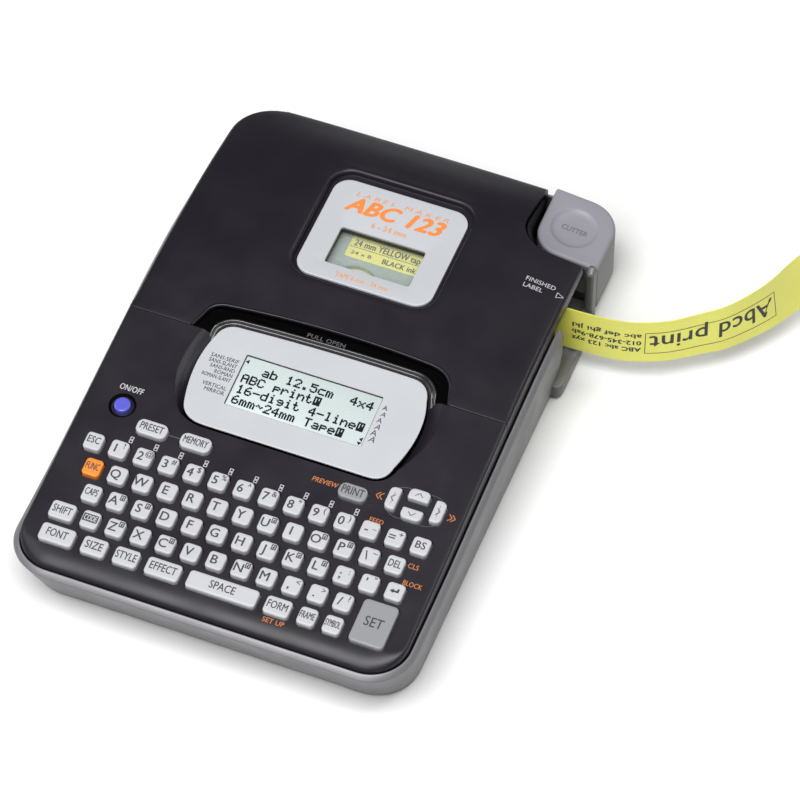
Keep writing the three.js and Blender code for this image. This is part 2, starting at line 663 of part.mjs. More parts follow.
// the openings in the fascia, made in the keyboard plane and turned onto the slope
function keyHoles() {
  const singles = SINGLE_KEYS.map(([, x, y, outline]) => prismZ(outline(KEY.hole)(x, slopeOf(y)), -8, 8, 1));
  const rows = KEY_ROWS.flatMap((entry) => {
    const s = slopeOf(keyY(entry[1]));
    const hole = letterKey(KEY.hole);
    return rowColumns(entry).map((x) => prismZ(hole(x, s), -8, 8, 1));
  });
  const turn = new THREE.Matrix4().makeTranslation(0, 0, PLANE_Z).multiply(new THREE.Matrix4().makeRotationX(TILT));
  return turned(joined([...singles, ...rows]), turn);
}

// ---------- assembly ----------
const product = new THREE.Group();
const machine = new THREE.Group();
machine.position.set(-LEDGE_PROUD / 2, 0, FOOT_H);
product.add(machine);
const keyboard = new THREE.Group();
keyboard.position.set(0, 0, PLANE_Z);
keyboard.rotation.x = TILT;
machine.add(keyboard);

function place(group, name, shape, finish) {
  const mesh = new THREE.Mesh(geometryOf(shape), material(finish));
  mesh.name = name;
  group.add(mesh);
}

place(machine, 'bottom_case', bottomCase(), 'silver');
place(machine, 'top_case', fascia().subtract(keyHoles()), 'charcoal');
place(machine, 'inner_frame', innerFrame(), 'dark');
place(machine, 'tape_cover', tapeCover(), 'charcoal');
place(machine, 'cutter_button', cutterButton(), 'cutterGrey');

const badgeSolid = prismZ(centredShape(BADGE.x, BADGE.y, BADGE.w, BADGE.d, BADGE.r), BADGE.z + 0.2, BADGE.z + BADGE.t)
  .subtract(prismZ(centredShape(WINDOW.x, WINDOW.y, WINDOW.w - 1, WINDOW.d - 1, 1), 20, 60, 2));
place(machine, 'badge_plate', badgeSolid, 'panel');
const windowTop = BADGE.z - 2.4;
place(machine, 'cover_window', box(
  WINDOW.x - WINDOW.w / 2 - 1.5, WINDOW.x + WINDOW.w / 2 + 1.5,
  WINDOW.y - WINDOW.d / 2 - 1.5, WINDOW.y + WINDOW.d / 2 + 1.5, windowTop - 1, windowTop,
), 'clear');
place(machine, 'hinge_pin', cylinderX(HINGE_Y, HINGE_Z, 1.2, -64, 48), 'steel');

// display: the panel stands a little proud of the fascia
const panelDrop = PLANE_Z - (PLANE_Z + (PANEL.front + PANEL.rear) / 2 * Math.tan(TILT));
const panelSolid = prismZ(panelShape(0), -1.6, 0.4, 4)
  .subtract(prismZ(centredShape(LCD.x, LCD.y, LCD.w, LCD.d, 0.6), -5, 5, 1));
place(keyboard, 'display_bezel', panelSolid, 'panel');
place(keyboard, 'lcd_module', box(
  LCD.x - LCD.w / 2 - 5, LCD.x + LCD.w / 2 + 5, LCD.y - LCD.d / 2 - 4, LCD.y + LCD.d / 2 + 4, -5, -1.9,
), 'glass');

SINGLE_KEYS.forEach(([name, x, y, outline, finish]) => {
  place(keyboard, name, singleKey(outline, x, y), finish);
});
KEY_ROWS.forEach((entry) => place(keyboard, entry[0], keyRow(entry), 'keyWhite'));
place(keyboard, 'keypad_mat', prismZ(corneredShape(-71, 71, -110, -39, [10, 10, 2, 2]), -6.4, -5, 2), 'rubber');

// base: feet, battery door, cells and the circuit board
[[-62, -96], [62, -96], [-62, 98], [64, 100]].forEach(([x, y], i) => {
  place(machine, `foot_${i + 1}`, cylinderZ(x, y, 6, -FOOT_H, -0.02, 16), 'rubber');
});
place(machine, 'battery_door', box(-DOOR.half, DOOR.half, DOOR.front, DOOR.rear, 0, DOOR.t), 'silver');
const CELL = { r: 7.1, length: 50 };
for (let i = 0; i < 6; i += 1) {
  const y = -88 + Math.floor(i / 2) * 16;
  const middle = i % 2 ? 26.2 : -26.2;
  const end = middle + CELL.length / 2;
  const cell = cylinderX(y, 9.8, CELL.r, middle - CELL.length / 2, end - 1.2, 16)
    .add(cylinderX(y, 9.8, 2.7, end - 1.3, end, 10));
  place(machine, `battery_${i + 1}`, cell, 'cell');
}
place(machine, 'main_board', box(-72, 72, -107, -14, 18.2, 19.8), 'board');

// cartridge, tape and mechanism
place(machine, 'cartridge_case', cartridgeCase(), 'clear');
place(machine, 'tape_spool', spool(SPOOL, 5.5, 9), 'tape');
place(machine, 'ribbon_spool', spool(RIBBON, 3, 5), 'dark');
place(machine, 'label_tape', labelTape(), 'tape');
place(machine, 'print_head', printHead(), 'steel');
place(machine, 'platen_roller', platenRoller(), 'rubber');
place(machine, 'idler_gear', idlerGear(), 'gearWhite');
place(machine, 'motor', motor(), 'steel');
place(machine, 'motor_pinion', motorPinion(), 'gearWhite');
place(machine, 'cutter_blade', cutterBlade(), 'steel');

export default product;
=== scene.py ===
"""A desktop label maker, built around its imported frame. Lengths are millimetres in the case's own
axes until a matrix carries them into the row frame, which is in metres."""
import math

import bmesh
import bpy
from mathutils import Matrix, Vector


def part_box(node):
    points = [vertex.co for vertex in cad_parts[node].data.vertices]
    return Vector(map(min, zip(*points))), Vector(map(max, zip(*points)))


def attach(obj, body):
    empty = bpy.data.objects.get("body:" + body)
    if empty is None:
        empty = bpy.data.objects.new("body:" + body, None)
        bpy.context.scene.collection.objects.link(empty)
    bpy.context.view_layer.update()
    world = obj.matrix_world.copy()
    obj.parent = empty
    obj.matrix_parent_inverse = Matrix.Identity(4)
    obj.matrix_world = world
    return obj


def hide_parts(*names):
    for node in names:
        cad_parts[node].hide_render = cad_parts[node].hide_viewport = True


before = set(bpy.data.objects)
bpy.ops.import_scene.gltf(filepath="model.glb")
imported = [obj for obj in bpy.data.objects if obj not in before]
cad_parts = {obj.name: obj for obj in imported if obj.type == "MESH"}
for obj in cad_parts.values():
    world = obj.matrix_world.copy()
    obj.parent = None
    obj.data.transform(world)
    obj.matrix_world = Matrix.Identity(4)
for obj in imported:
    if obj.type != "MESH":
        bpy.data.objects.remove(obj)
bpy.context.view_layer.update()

# ---------- frames and driving dimensions ----------
MM = 0.001
case_low, case_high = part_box("bottom_case")
foot_low, foot_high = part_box("foot_1")
door_low, door_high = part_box("battery_door")
LEDGE_PROUD = 1.5
HALF_W = (case_high.x - case_low.x) / MM / 2 - LEDGE_PROUD / 2
FRONT = case_low.y / MM
REAR = case_high.y / MM
FOOT_H = door_low.z / MM
TO_ROW = Matrix.Translation((-LEDGE_PROUD / 2 * MM, 0, FOOT_H * MM)) @ Matrix.Scale(MM, 4)
TILT = math.radians(6)
PLANE_Z = 41.2
TO_SLOPE = TO_ROW @ Matrix.Translation((0, 0, PLANE_Z)) @ Matrix.Rotation(TILT, 4, "X")
R_FRONT, R_REAR_LEFT, R_REAR_RIGHT = 18, 23, 13
SIDE_TAPER, FRONT_TAPER, TAPER_Z = 2.4, 10.4, 24.6
SKIN_INSET = 3.0
SKIN = 2.2
SPLIT_Y = -2
RIM_LINE = [(-125, 24.6), (-120, 24.6), (-68, 26), (-8, 31.4), (38, 34.2), (70, 31.6), (95, 28), (120, 26), (125, 26)]
COVER_LINE = [
    (-2, 41, 0.2), (14, 42.9, 1.2), (34, 44.9, 2.8), (56, 45.9, 4.2), (76, 45.8, 5.6),
    (90, 44.4, 6.2), (102, 40.8, 4.6), (112, 36.2, 2.2), (118, 33, 1),
]
PANEL = dict(front=-41.8, rear=3.5, left=-37, right=40.5, bulge=7.5, r=7)
LCD = dict(x=1.6, y=-19, w=56, d=23.4)
BADGE = dict(x=2, y=60.5, w=56, d=49.5, r=7)
BADGE_FLOOR = 42.2
WINDOW = dict(x=2, y=52.8, w=35, d=18.4)
PANEL_TOP = 0.4
PANEL_ROOM = 3.6
SCOOP = dict(left=-52.3, right=53.9, flare=2.4, rear_left=11.4, rear_right=13.2, bow=3.8, floor=39.5)
CUTTER = dict(left=52, front=89, r=11, bottom=4.5, top_right=28.5, slope=0.12, notch=79.8)
OUTLET = dict(front=51, rear=84, floor=7, post=88.4, ledge=45, top=35.5)
POST_TOP = 31.6
KEY_RISE = 1.9
KEY_HOLE = 0.4
KEY_FLANGE = 0.5


# ---------- curves ----------
def catmull(points, u):
    """Value on a Catmull-Rom line whose first coordinate grows along it; returns the others at u."""
    last = len(points) - 1
    i = 0
    while i < last - 1 and u > points[i + 1][0]:
        i += 1
    p1, p2 = points[i], points[i + 1]
    p0 = points[max(i - 1, 0)]
    p3 = points[min(i + 2, last)]
    t = min(max((u - p1[0]) / (p2[0] - p1[0]), 0), 1)
    out = []
    for k in range(1, len(p1)):
        m1 = (p2[k] - p0[k]) / (p2[0] - p0[0]) * (p2[0] - p1[0])
        m2 = (p3[k] - p1[k]) / (p3[0] - p1[0]) * (p2[0] - p1[0])
        a = 2 * t ** 3 - 3 * t ** 2 + 1
        b = t ** 3 - 2 * t ** 2 + t
        c = 3 * t ** 2 - 2 * t ** 3
        d = t ** 3 - t ** 2
        out.append(a * p1[k] + b * m1 + c * p2[k] + d * m2)
    return out


def rim_z(y):
    return catmull(RIM_LINE, y)[0]


def plane_z(y):
    return PLANE_Z + y * math.tan(TILT)


def smooth(t):
    t = min(max(t, 0), 1)
    return t * t * (3 - 2 * t)


def spread(a, b, n):
    return [a + (b - a) * i / n for i in range(n + 1)]


# ---------- outlines ----------
def rounded(x0, x1, y0, y1, radii, arc=10, step=None):
    """Anticlockwise outline with its own radius at each corner: front left, front right, rear right, rear left."""
    fl, fr, rr, rl = radii
    corners = [
        (x1 - fr, y0 + fr, fr, -90), (x1 - rr, y1 - rr, rr, 0),
        (x0 + rl, y1 - rl, rl, 90), (x0 + fl, y0 + fl, fl, 180),
    ]
    out = []
    for cx, cy, r, start in corners:
        turn = []
        for i in range(arc + 1):
            a = math.radians(start + 90 * i / arc)
            turn.append((cx + r * math.cos(a), cy + r * math.sin(a)))
        if step and out:
            out += between(out[-1], turn[0], step)
        out += turn
    if step:
        out += between(out[-1], out[0], step)
    return out


def between(a, b, pieces):
    return [(a[0] + (b[0] - a[0]) * k / pieces, a[1] + (b[1] - a[1]) * k / pieces) for k in range(1, pieces)]


def centred(x, y, w, d, r, arc=8):
    return rounded(x - w / 2, x + w / 2, y - d / 2, y + d / 2, [r] * 4, arc)


def case_outline(inset, arc=16, step=30):
    radii = [max(r - inset, 0.5) for r in (R_FRONT, R_FRONT, R_REAR_RIGHT, R_REAR_LEFT)]
    return rounded(-HALF_W + inset, HALF_W - inset, FRONT + inset, REAR - inset, radii, arc, step)


def cutter_outline(offset, arc=14, step=4):
    c = CUTTER
    radii = [c["r"] + offset, max(1.2 + offset, 0.4), R_REAR_RIGHT + offset, max(1.2 + offset, 0.4)]
    return rounded(
        c["left"] - offset, HALF_W + offset, c["front"] - offset, REAR + offset, radii, arc, step
    )


def quadratic(a, b, c, n):
    return [tuple((1 - t) ** 2 * a[k] + 2 * t * (1 - t) * b[k] + t * t * c[k] for k in (0, 1)) for t in
            [i / n for i in range(n)]]


def panel_outline(n=10):
    """The display panel: a soft rectangle with bulging sides."""
    p = PANEL
    y0, y1, left, right, bulge, r = p["front"], p["rear"], p["left"], p["right"], p["bulge"], p["r"]
    middle = (y0 + y1) / 2 + 2
    out = [(left + r, y0)] + between((left + r, y0), (right - r + 3, y0), n)
    out += quadratic((right - r + 3, y0), (right + 3, y0), (right + 4, y0 + r), n)
    out += quadratic((right + 4, y0 + r), (right + bulge + 2.5, middle), (right + 5, y1 - r), 2 * n)
    out += quadratic((right + 5, y1 - r), (right + 3.5, y1 + 0.8), (right - r + 3, y1 + 0.8), n)
    out += quadratic((right - r + 3, y1 + 0.8), ((left + right) / 2, y1 + 1.4), (left + r - 2, y1 - 0.6), n)
    out += quadratic((left + r - 2, y1 - 0.6), (left - 2.6, y1 - 0.3), (left - 4, y1 - r), n)
    out += quadratic((left - 4, y1 - r), (left - bulge - 1, middle), (left - 4, y0 + r), 2 * n)
    out += quadratic((left - 4, y0 + r), (left - 2, y0), (left + r, y0), n)
    return out


def grown(outline, amount):
    """The outline moved outwards; amount is a length, or a function of the point and its outward normal."""
    out = []
    n = len(outline)
    for i, (x, y) in enumerate(outline):
        ax, ay = outline[i - 1]
        bx, by = outline[(i + 1) % n]
        tx, ty = bx - ax, by - ay
        length = math.hypot(tx, ty) or 1
        nx, ny = ty / length, -tx / length
        w = amount(x, y, nx, ny) if callable(amount) else amount
        out.append((x + nx * w, y + ny * w))
    return out


def at_height(outline, z):
    return [(x, y, z(x, y) if callable(z) else z) for x, y in outline]


# ---------- meshes ----------
def mesh_piece(name, verts, faces, material, body, slot, matrix=TO_ROW, hides=(), sharp=32, smooth_faces=True):
    mesh = bpy.data.meshes.new(name)
    mesh.from_pydata([tuple(v) for v in verts], [], faces)
    mesh.transform(matrix)
    mesh.validate()
    mesh.update()
    if smooth_faces:
        mesh.shade_smooth()
        mesh.set_sharp_from_angle(angle=math.radians(sharp))
    for m in material if isinstance(material, (list, tuple)) else [material]:
        mesh.materials.append(m)
    piece = bpy.data.objects.new(name, mesh)
    bpy.context.scene.collection.objects.link(piece)
    if body:
        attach(piece, body)
        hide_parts(*hides)
    return piece


def loft(rings, cap_first=True, cap_last=True):
    """Verts and faces of a tube through rings of equally many points; anticlockwise rings that rise face outwards."""
    n = len(rings[0])
    verts = [v for ring in rings for v in ring]
    faces = []
    for k in range(len(rings) - 1):
        for i in range(n):
            j = (i + 1) % n
            faces.append((k * n + i, k * n + j, (k + 1) * n + j, (k + 1) * n + i))
    if cap_first:
        faces.append(tuple(reversed(range(n))))
    if cap_last:
        faces.append(tuple(range((len(rings) - 1) * n, len(rings) * n)))
    return verts, faces


def merge_parts(parts):
    verts, faces = [], []
    for v, f in parts:
        base = len(verts)
        verts += [tuple(p) for p in v]
        faces += [tuple(i + base for i in face) for face in f]
    return verts, faces


def tool_piece(verts, faces, matrix=TO_ROW):
    mesh = bpy.data.meshes.new("tool")
    mesh.from_pydata([tuple(v) for v in verts], [], faces)
    mesh.transform(matrix)
    tool = bpy.data.objects.new("tool", mesh)
    bpy.context.scene.collection.objects.link(tool)
    return tool


def block(x0, x1, y0, y1, z0, z1):
    outline = [(x0, y0), (x1, y0), (x1, y1), (x0, y1)]
    return loft([at_height(outline, z0), at_height(outline, z1)])


def cut(piece, tool, sharp=32, operation="DIFFERENCE"):
    change = piece.modifiers.new("cut", "BOOLEAN")
    change.operation = operation
    change.solver = "EXACT"
    change.object = tool
    bake_modifiers(piece, sharp)
    bpy.data.objects.remove(tool)


def weld(mesh, distance=0.00001):
    """Joins vertices that lie in the same place."""
    work = bmesh.new()
    work.from_mesh(mesh)
    bmesh.ops.remove_doubles(work, verts=work.verts, dist=distance)
    work.to_mesh(mesh)
    work.free()


def turn_outward(mesh):
    """Turns every face outward."""
    work = bmesh.new()
    work.from_mesh(mesh)
    bmesh.ops.recalc_face_normals(work, faces=work.faces)
    work.to_mesh(mesh)
    work.free()


def bake_modifiers(piece, sharp=32):
    graph = bpy.context.evaluated_depsgraph_get()
    mesh = bpy.data.meshes.new_from_object(piece.evaluated_get(graph))
    piece.modifiers.clear()
    piece.data = mesh
    mesh.shade_smooth()
    mesh.set_sharp_from_angle(angle=math.radians(sharp))


def soften(piece, width, segments=2, angle=30):
    """Rounds the piece's own sharp edges."""
    change = piece.modifiers.new("soft edges", "BEVEL")
    change.width = width * MM
    change.segments = segments
    change.limit_method = "ANGLE"
    change.angle_limit = math.radians(angle)
    change.harden_normals = False
    return piece


# ---------- materials ----------
class Paint:
    """A Principled material and the nodes that give it detail."""

    def __init__(self, name, roughness, metallic=0.0, coat=0.0, transmission=0.0, ior=1.46):
        self.material = bpy.data.materials.new(name)
        self.material.use_nodes = True
        self.nodes = self.material.node_tree.nodes
        self.links = self.material.node_tree.links
        self.shader = self.nodes["Principled BSDF"]
        self.shader.inputs["Roughness"].default_value = roughness
        self.shader.inputs["Metallic"].default_value = metallic
        self.shader.inputs["Coat Weight"].default_value = coat
        self.shader.inputs["Coat Roughness"].default_value = 0.12
        self.shader.inputs["Transmission Weight"].default_value = transmission
        self.shader.inputs["IOR"].default_value = ior
        self.where = self.nodes.new("ShaderNodeTexCoord").outputs["Object"]

    def noise(self, scale, detail=2.0, rough=0.5, stretch=None):
        node = self.nodes.new("ShaderNodeTexNoise")
        node.inputs["Scale"].default_value = scale
        node.inputs["Detail"].default_value = detail
        node.inputs["Roughness"].default_value = rough
        source = self.where
        if stretch:
            move = self.nodes.new("ShaderNodeMapping")
            move.inputs["Scale"].default_value = stretch
            self.links.new(source, move.inputs["Vector"])
            source = move.outputs["Vector"]
        self.links.new(source, node.inputs["Vector"])
        return node.outputs["Fac"]

    def ramp(self, fac, low, high, start=0.35, end=0.65):
        node = self.nodes.new("ShaderNodeMapRange")
        self.links.new(fac, node.inputs["Value"])
        node.inputs["From Min"].default_value = start
        node.inputs["From Max"].default_value = end
        node.inputs["To Min"].default_value = low
        node.inputs["To Max"].default_value = high
        return node.outputs["Result"]

    def mix(self, fac, a, b):
        node = self.nodes.new("ShaderNodeMix")
        node.data_type = "RGBA"
        self.links.new(fac, node.inputs["Factor"])
        for key, value in (("A", a), ("B", b)):
            socket = [s for s in node.inputs if s.name == key and s.type == "RGBA"][0]
            if isinstance(value, tuple):
                socket.default_value = (*value, 1)
            else:
                self.links.new(value, socket)
        return [s for s in node.outputs if s.type == "RGBA"][0]

    def colour(self, socket):
        self.links.new(socket, self.shader.inputs["Base Color"])

    def roughness(self, socket):
        self.links.new(socket, self.shader.inputs["Roughness"])

    def bump(self, height, distance, strength=1.0):
        node = self.nodes.new("ShaderNodeBump")
        node.inputs["Strength"].default_value = strength
        node.inputs["Distance"].default_value = distance
        self.links.new(height, node.inputs["Height"])
        self.links.new(node.outputs["Normal"], self.shader.inputs["Normal"])

    def facing_up(self):
        """Mask for the painted shade on side walls: 0 on faces that look sideways or down, 1 on faces that look up."""
        split = self.nodes.new("ShaderNodeSeparateXYZ")
        self.links.new(self.nodes.new("ShaderNodeNewGeometry").outputs["Normal"], split.inputs["Vector"])
        return self.ramp(split.outputs["Z"], 0.0, 1.0, 0.2, 0.45)

    def worn_edges(self, colour, edge, amount=0.35):
        geometry = self.nodes.new("ShaderNodeNewGeometry")
        edges = self.ramp(geometry.outputs["Pointiness"], 0.0, amount, 0.51, 0.6)
        return self.mix(edges, colour, edge)


def shade(colour, factor):
    return tuple(min(c * factor, 1) for c in colour)


def moulded(name, colour, roughness, grain=0.5, depth=0.012, speckle=0.06, coat=0.0, edge=1.5, metallic=0.0,
            side_shade=1.0):
    """Moulded or painted plastic: fine grain, faint mottling, drifting gloss and slightly rubbed edges.
    grain is the size of the surface texture and depth its height, in millimetres. The last argument is how bright the
    faces that look sideways come out, as a factor of the colour: painted shade that darkens the side walls."""
    paint = Paint(name, roughness, metallic, coat)
    broad = paint.noise(18, 3)
    fine = paint.noise(1 / (grain * MM), 3, 0.6)
    body = paint.mix(paint.ramp(broad, 0, 1, 0.3, 0.7), shade(colour, 1 - speckle), shade(colour, 1 + speckle))
    body = paint.mix(paint.ramp(fine, 0, 0.5), body, shade(colour, 1 - 1.5 * speckle))
    body = paint.worn_edges(body, shade(colour, edge))
    # Painted shade: faces that look sideways or down get a darker copy of the colour.
    if side_shade < 1:
        body = paint.mix(paint.facing_up(), shade(colour, side_shade), body)
    paint.colour(body)
    drift = paint.noise(60, 4)
    paint.roughness(paint.ramp(drift, roughness - 0.05, roughness + 0.06, 0.3, 0.7))
    paint.bump(fine, depth * MM)
    return paint.material


def metal(name, colour, roughness, stretch):
    paint = Paint(name, roughness, 1.0)
    lines = paint.noise(900, 2, 0.5, stretch)
    paint.colour(paint.mix(lines, shade(colour, 0.85), shade(colour, 1.1)))
    paint.roughness(paint.ramp(lines, roughness - 0.08, roughness + 0.1))
    paint.bump(lines, 0.006 * MM, 0.6)
    return paint.material


def clear_plastic(name, colour, roughness, transmission, alpha=1.0):
    paint = Paint(name, roughness, 0, 0.3, transmission, 1.49)
    haze = paint.noise(35, 3)
    paint.colour(paint.mix(paint.ramp(haze, 0, 1), shade(colour, 0.93), colour))
    paint.roughness(paint.ramp(paint.noise(240, 3), roughness, roughness + 0.06))
    paint.shader.inputs["Alpha"].default_value = alpha
    return paint.material


def printed(name, colour, roughness=0.5):
    paint = Paint(name, roughness)
    ink = paint.noise(2600, 2)
    paint.colour(paint.mix(paint.ramp(ink, 0, 1), shade(colour, 0.9), shade(colour, 1.06)))
    paint.roughness(paint.ramp(ink, roughness - 0.05, roughness + 0.08))
    return paint.material


def make_materials():
    m = {}
    # The last argument of the silver case is painted shade: its sideways faces come out at 0.55 of the colour.
    m["silver"] = moulded("silver_paint", (0.225, 0.225, 0.236), 0.40, 0.35, 0.006, 0.05, 0.0, 1.2, 0.35, 0.55)
    m["charcoal"] = moulded("charcoal_plastic", (0.0138, 0.0118, 0.0172), 0.40, 0.42, 0.010, 0.10, 0.0, 1.2)
    # Near-black, weakly reflecting plastic for the finger scoop and the power key's ring; the display skirt and the
    # notch wall use it as painted shade.
    m["scoop"] = moulded("black_plastic_and_shade", (0.0015, 0.0015, 0.0018), 0.4, 1.6, 0.003, 0.1, 0.0, 1.5)
    m["scoop"].node_tree.nodes["Principled BSDF"].inputs["Specular IOR Level"].default_value = 0.06
    m["panel"] = moulded("silver_panel_paint", (0.56, 0.575, 0.605), 0.4, 0.3, 0.004, 0.03, 0.1, 1.04, 0.1)
    # Painted shade again: the cutter's sideways faces come out at 0.55 of its colour.
    m["cutter"] = moulded("cutter_plastic", (0.285, 0.28, 0.318), 0.46, 0.4, 0.008, 0.05, 0.0, 1.2, 0.0, 0.55)
    # Darker grey for the CUTTER word: painted shade standing in for the shade inside engraved letters.
    m["cutter_word_shade"] = moulded("cutter_word_shade", (0.15, 0.15, 0.17), 0.46, 0.4, 0.008, 0.05, 0.0, 1.25)
    m["key"] = moulded("key_plastic", (0.53, 0.535, 0.56), 0.42, 0.35, 0.006, 0.03, 0.0, 1.1)
    m["grey_key"] = moulded("grey_key_plastic", (0.275, 0.28, 0.29), 0.42, 0.35, 0.006, 0.04, 0.0, 1.15)
    m["orange_key"] = moulded("orange_key_plastic", (0.85, 0.26, 0.04), 0.4, 0.35, 0.006, 0.05, 0.0, 1.1)
    m["blue_key"] = moulded("blue_key_plastic", (0.11, 0.115, 0.60), 0.3, 0.35, 0.004, 0.06, 0.3, 1.1)
    m["rubber"] = moulded("rubber", (0.018, 0.018, 0.019), 0.75, 0.8, 0.03, 0.15)
    m["inner"] = moulded("inner_plastic", (0.035, 0.036, 0.04), 0.5, 0.6, 0.015, 0.12)
    m["gear"] = moulded("gear_plastic", (0.62, 0.6, 0.54), 0.45, 0.5, 0.01, 0.06)
    m["board"] = moulded("board_mask", (0.015, 0.11, 0.04), 0.35, 1.2, 0.01, 0.25, 0.3)
    m["cell"] = moulded("cell_jacket", (0.48, 0.30, 0.05), 0.3, 3.0, 0.004, 0.12, 0.4, 1.1, 0.4)
    m["tape"] = tape_film()
    m["roll"] = wound_roll()
    m["steel"] = metal("steel", (0.58, 0.59, 0.6), 0.28, (1, 12, 1))
    m["smoke"] = clear_plastic("smoky_shell", (0.34, 0.42, 0.38), 0.22, 0.15)
    m["window"] = clear_plastic("clear_window", (0.80, 0.86, 0.83), 0.04, 0.0, 0.1)
    m["lcd"] = lcd_glass()
    m["black_ink"] = printed("black_ink", (0.012, 0.012, 0.014), 0.4)
    m["grey_ink"] = printed("grey_ink", (0.055, 0.058, 0.065))
    m["white_ink"] = printed("white_ink", (0.5, 0.5, 0.52))
    m["dim_ink"] = printed("dim_ink", (0.12, 0.12, 0.125))
    m["orange_ink"] = printed("orange_ink", (0.50, 0.17, 0.055))
    m["bright_orange_ink"] = printed("bright_orange_ink", (0.87, 0.26, 0.06))
    m["pale_orange_ink"] = printed("pale_orange_ink", (0.74, 0.33, 0.14))
    m["lcd_ink"] = printed("lcd_ink", (0.016, 0.02, 0.03), 0.3)
    m["gloss_grey"] = moulded("gloss_grey_plastic", (0.028, 0.027, 0.03), 0.16, 1.6, 0.003, 0.1, 0.4, 1.6)
    m["sticker"] = printed("yellow_sticker", (0.72, 0.69, 0.16), 0.45)
    # Near-black lining for the walls of the display window: painted shade standing in for the shadow inside that
    # recess.
    m["window_wall_shade"] = moulded("window_wall_shade", (0.03, 0.032, 0.033), 0.6, 0.5, 0.01, 0.1)
    return m


def tape_film():
    paint = Paint("label_film", 0.34, 0, 0.25)
    colour = (0.80, 0.79, 0.125)
    long_drift = paint.noise(30, 3)
    fibre = paint.noise(1400, 2)
    body = paint.mix(paint.ramp(long_drift, 0, 1, 0.3, 0.7), shade(colour, 0.94), shade(colour, 1.04))
    paint.colour(paint.mix(paint.ramp(fibre, 0, 0.35), body, shade(colour, 0.9)))
    paint.roughness(paint.ramp(paint.noise(90, 3), 0.3, 0.42))
    paint.bump(fibre, 0.003 * MM)
    return paint.material


def wound_roll():
    """Film wound on a reel: its face shows fine rings."""
    paint = Paint("wound_film", 0.45)
    rings = paint.noise(160, 3, 0.6, (1, 1, 25))
    paint.colour(paint.mix(rings, (0.52, 0.5, 0.1), (0.72, 0.7, 0.2)))
    paint.roughness(paint.ramp(rings, 0.36, 0.55))
    paint.bump(rings, 0.02 * MM)
    return paint.material


def lcd_glass():
    """Display glass over a pale green reflector with a very fine cell pattern."""
    paint = Paint("lcd_glass", 0.4, 0, 0.0)
    drift = paint.noise(22, 2)
    cells = paint.noise(3000, 1)
    body = paint.mix(paint.ramp(drift, 0, 1), (0.56, 0.635, 0.625), (0.59, 0.665, 0.655))
    paint.colour(paint.mix(paint.ramp(cells, 0, 0.4), body, (0.52, 0.61, 0.59)))
    paint.roughness(paint.ramp(drift, 0.36, 0.46))
    return paint.material


# ---------- camera, light and floor ----------
def make_camera():
    """Looks from the front right, high up, from far enough away that lines stay nearly parallel."""
    azimuth, elevation, roll = (math.radians(a) for a in (22.003, 53.063, -0.433))
    place = Vector((0.43775, -1.0030, 1.4722))
    back = Vector((math.sin(azimuth) * math.cos(elevation), -math.cos(azimuth) * math.cos(elevation), math.sin(elevation)))
    level = Vector((math.cos(azimuth), math.sin(azimuth), 0))
    up = back.cross(level)
    right = math.cos(roll) * level + math.sin(roll) * up
    above = back.cross(right)
    data = bpy.data.cameras.new("camera")
    data.sensor_width = 36
    data.lens = 213.2
    data.clip_start, data.clip_end = 0.05, 20
    camera = bpy.data.objects.new("camera", data)
    turn = Matrix((right, above, back)).transposed().to_4x4()
    camera.matrix_world = Matrix.Translation(place) @ turn
    bpy.context.scene.collection.objects.link(camera)
    bpy.context.scene.camera = camera


def area_light(name, place, target, size, watts, colour=(1, 1, 1)):
    data = bpy.data.lights.new(name, "AREA")
    data.shape = "RECTANGLE"
    data.size, data.size_y = size
    data.energy = watts
    data.color = colour
    light = bpy.data.objects.new(name, data)
    light.location = place
    light.rotation_euler = (Vector(target) - Vector(place)).to_track_quat("-Z", "Y").to_euler()
    bpy.context.scene.collection.objects.link(light)


def make_studio():
    world = bpy.data.worlds.new("studio")
    bpy.context.scene.world = world
    world.use_nodes = True
    nodes, links = world.node_tree.nodes, world.node_tree.links
    direction = nodes.new("ShaderNodeTexCoord").outputs["Generated"]
    split = nodes.new("ShaderNodeSeparateXYZ")
    links.new(direction, split.inputs["Vector"])
    fade = nodes.new("ShaderNodeMapRange")
    fade.interpolation_type = "SMOOTHSTEP"
    links.new(split.outputs["Z"], fade.inputs["Value"])
    fade.inputs["From Min"].default_value = 0.25
    fade.inputs["From Max"].default_value = 0.8
    fade.inputs["To Max"].default_value = 0.14
    rear = nodes.new("ShaderNodeMapRange")
    rear.interpolation_type = "SMOOTHSTEP"
    links.new(split.outputs["Y"], rear.inputs["Value"])
    rear.inputs["From Min"].default_value = 0.1
    rear.inputs["From Max"].default_value = 0.9
    rear.inputs["To Min"].default_value = 0.22
    rear.inputs["To Max"].default_value = 0.75
    links.new(rear.outputs["Result"], fade.inputs["To Min"])
    links.new(fade.outputs["Result"], nodes["Background"].inputs["Strength"])
    area_light("key_top", (0.05, -0.55, 1.75), (0, 0, 0.02), (1.3, 0.8), 29.5)
    area_light("key_front", (-0.3, -1.3, 1.5), (0, 0, 0.02), (1.4, 0.6), 14)
    area_light("fill_left", (-1.35, -0.1, 1.25), (0, 0, 0.02), (0.8, 0.8), 5)
    area_light("rear_right", (0.85, 0.75, 1.5), (0, 0, 0.02), (0.9, 0.9), 7)
    bpy.context.scene.view_settings.view_transform = "Standard"
    paint = Paint("floor_paper", 0.9)
    fibre = paint.noise(400, 3)
    paint.colour(paint.mix(fibre, (0.93, 0.93, 0.93), (0.96, 0.96, 0.96)))
    paint.bump(fibre, 0.02 * MM)
    half = 6000
    floor = mesh_piece(
        "floor", [(-half, -half, 0), (half, -half, 0), (half, half, 0), (-half, half, 0)], [(0, 1, 2, 3)],
        paint.material, None, None, Matrix.Scale(MM, 4), smooth_faces=False,
    )


# ---------- lettering ----------
CAP_HEIGHT = 1.466  # font size for each millimetre of capital height
_letters = {}


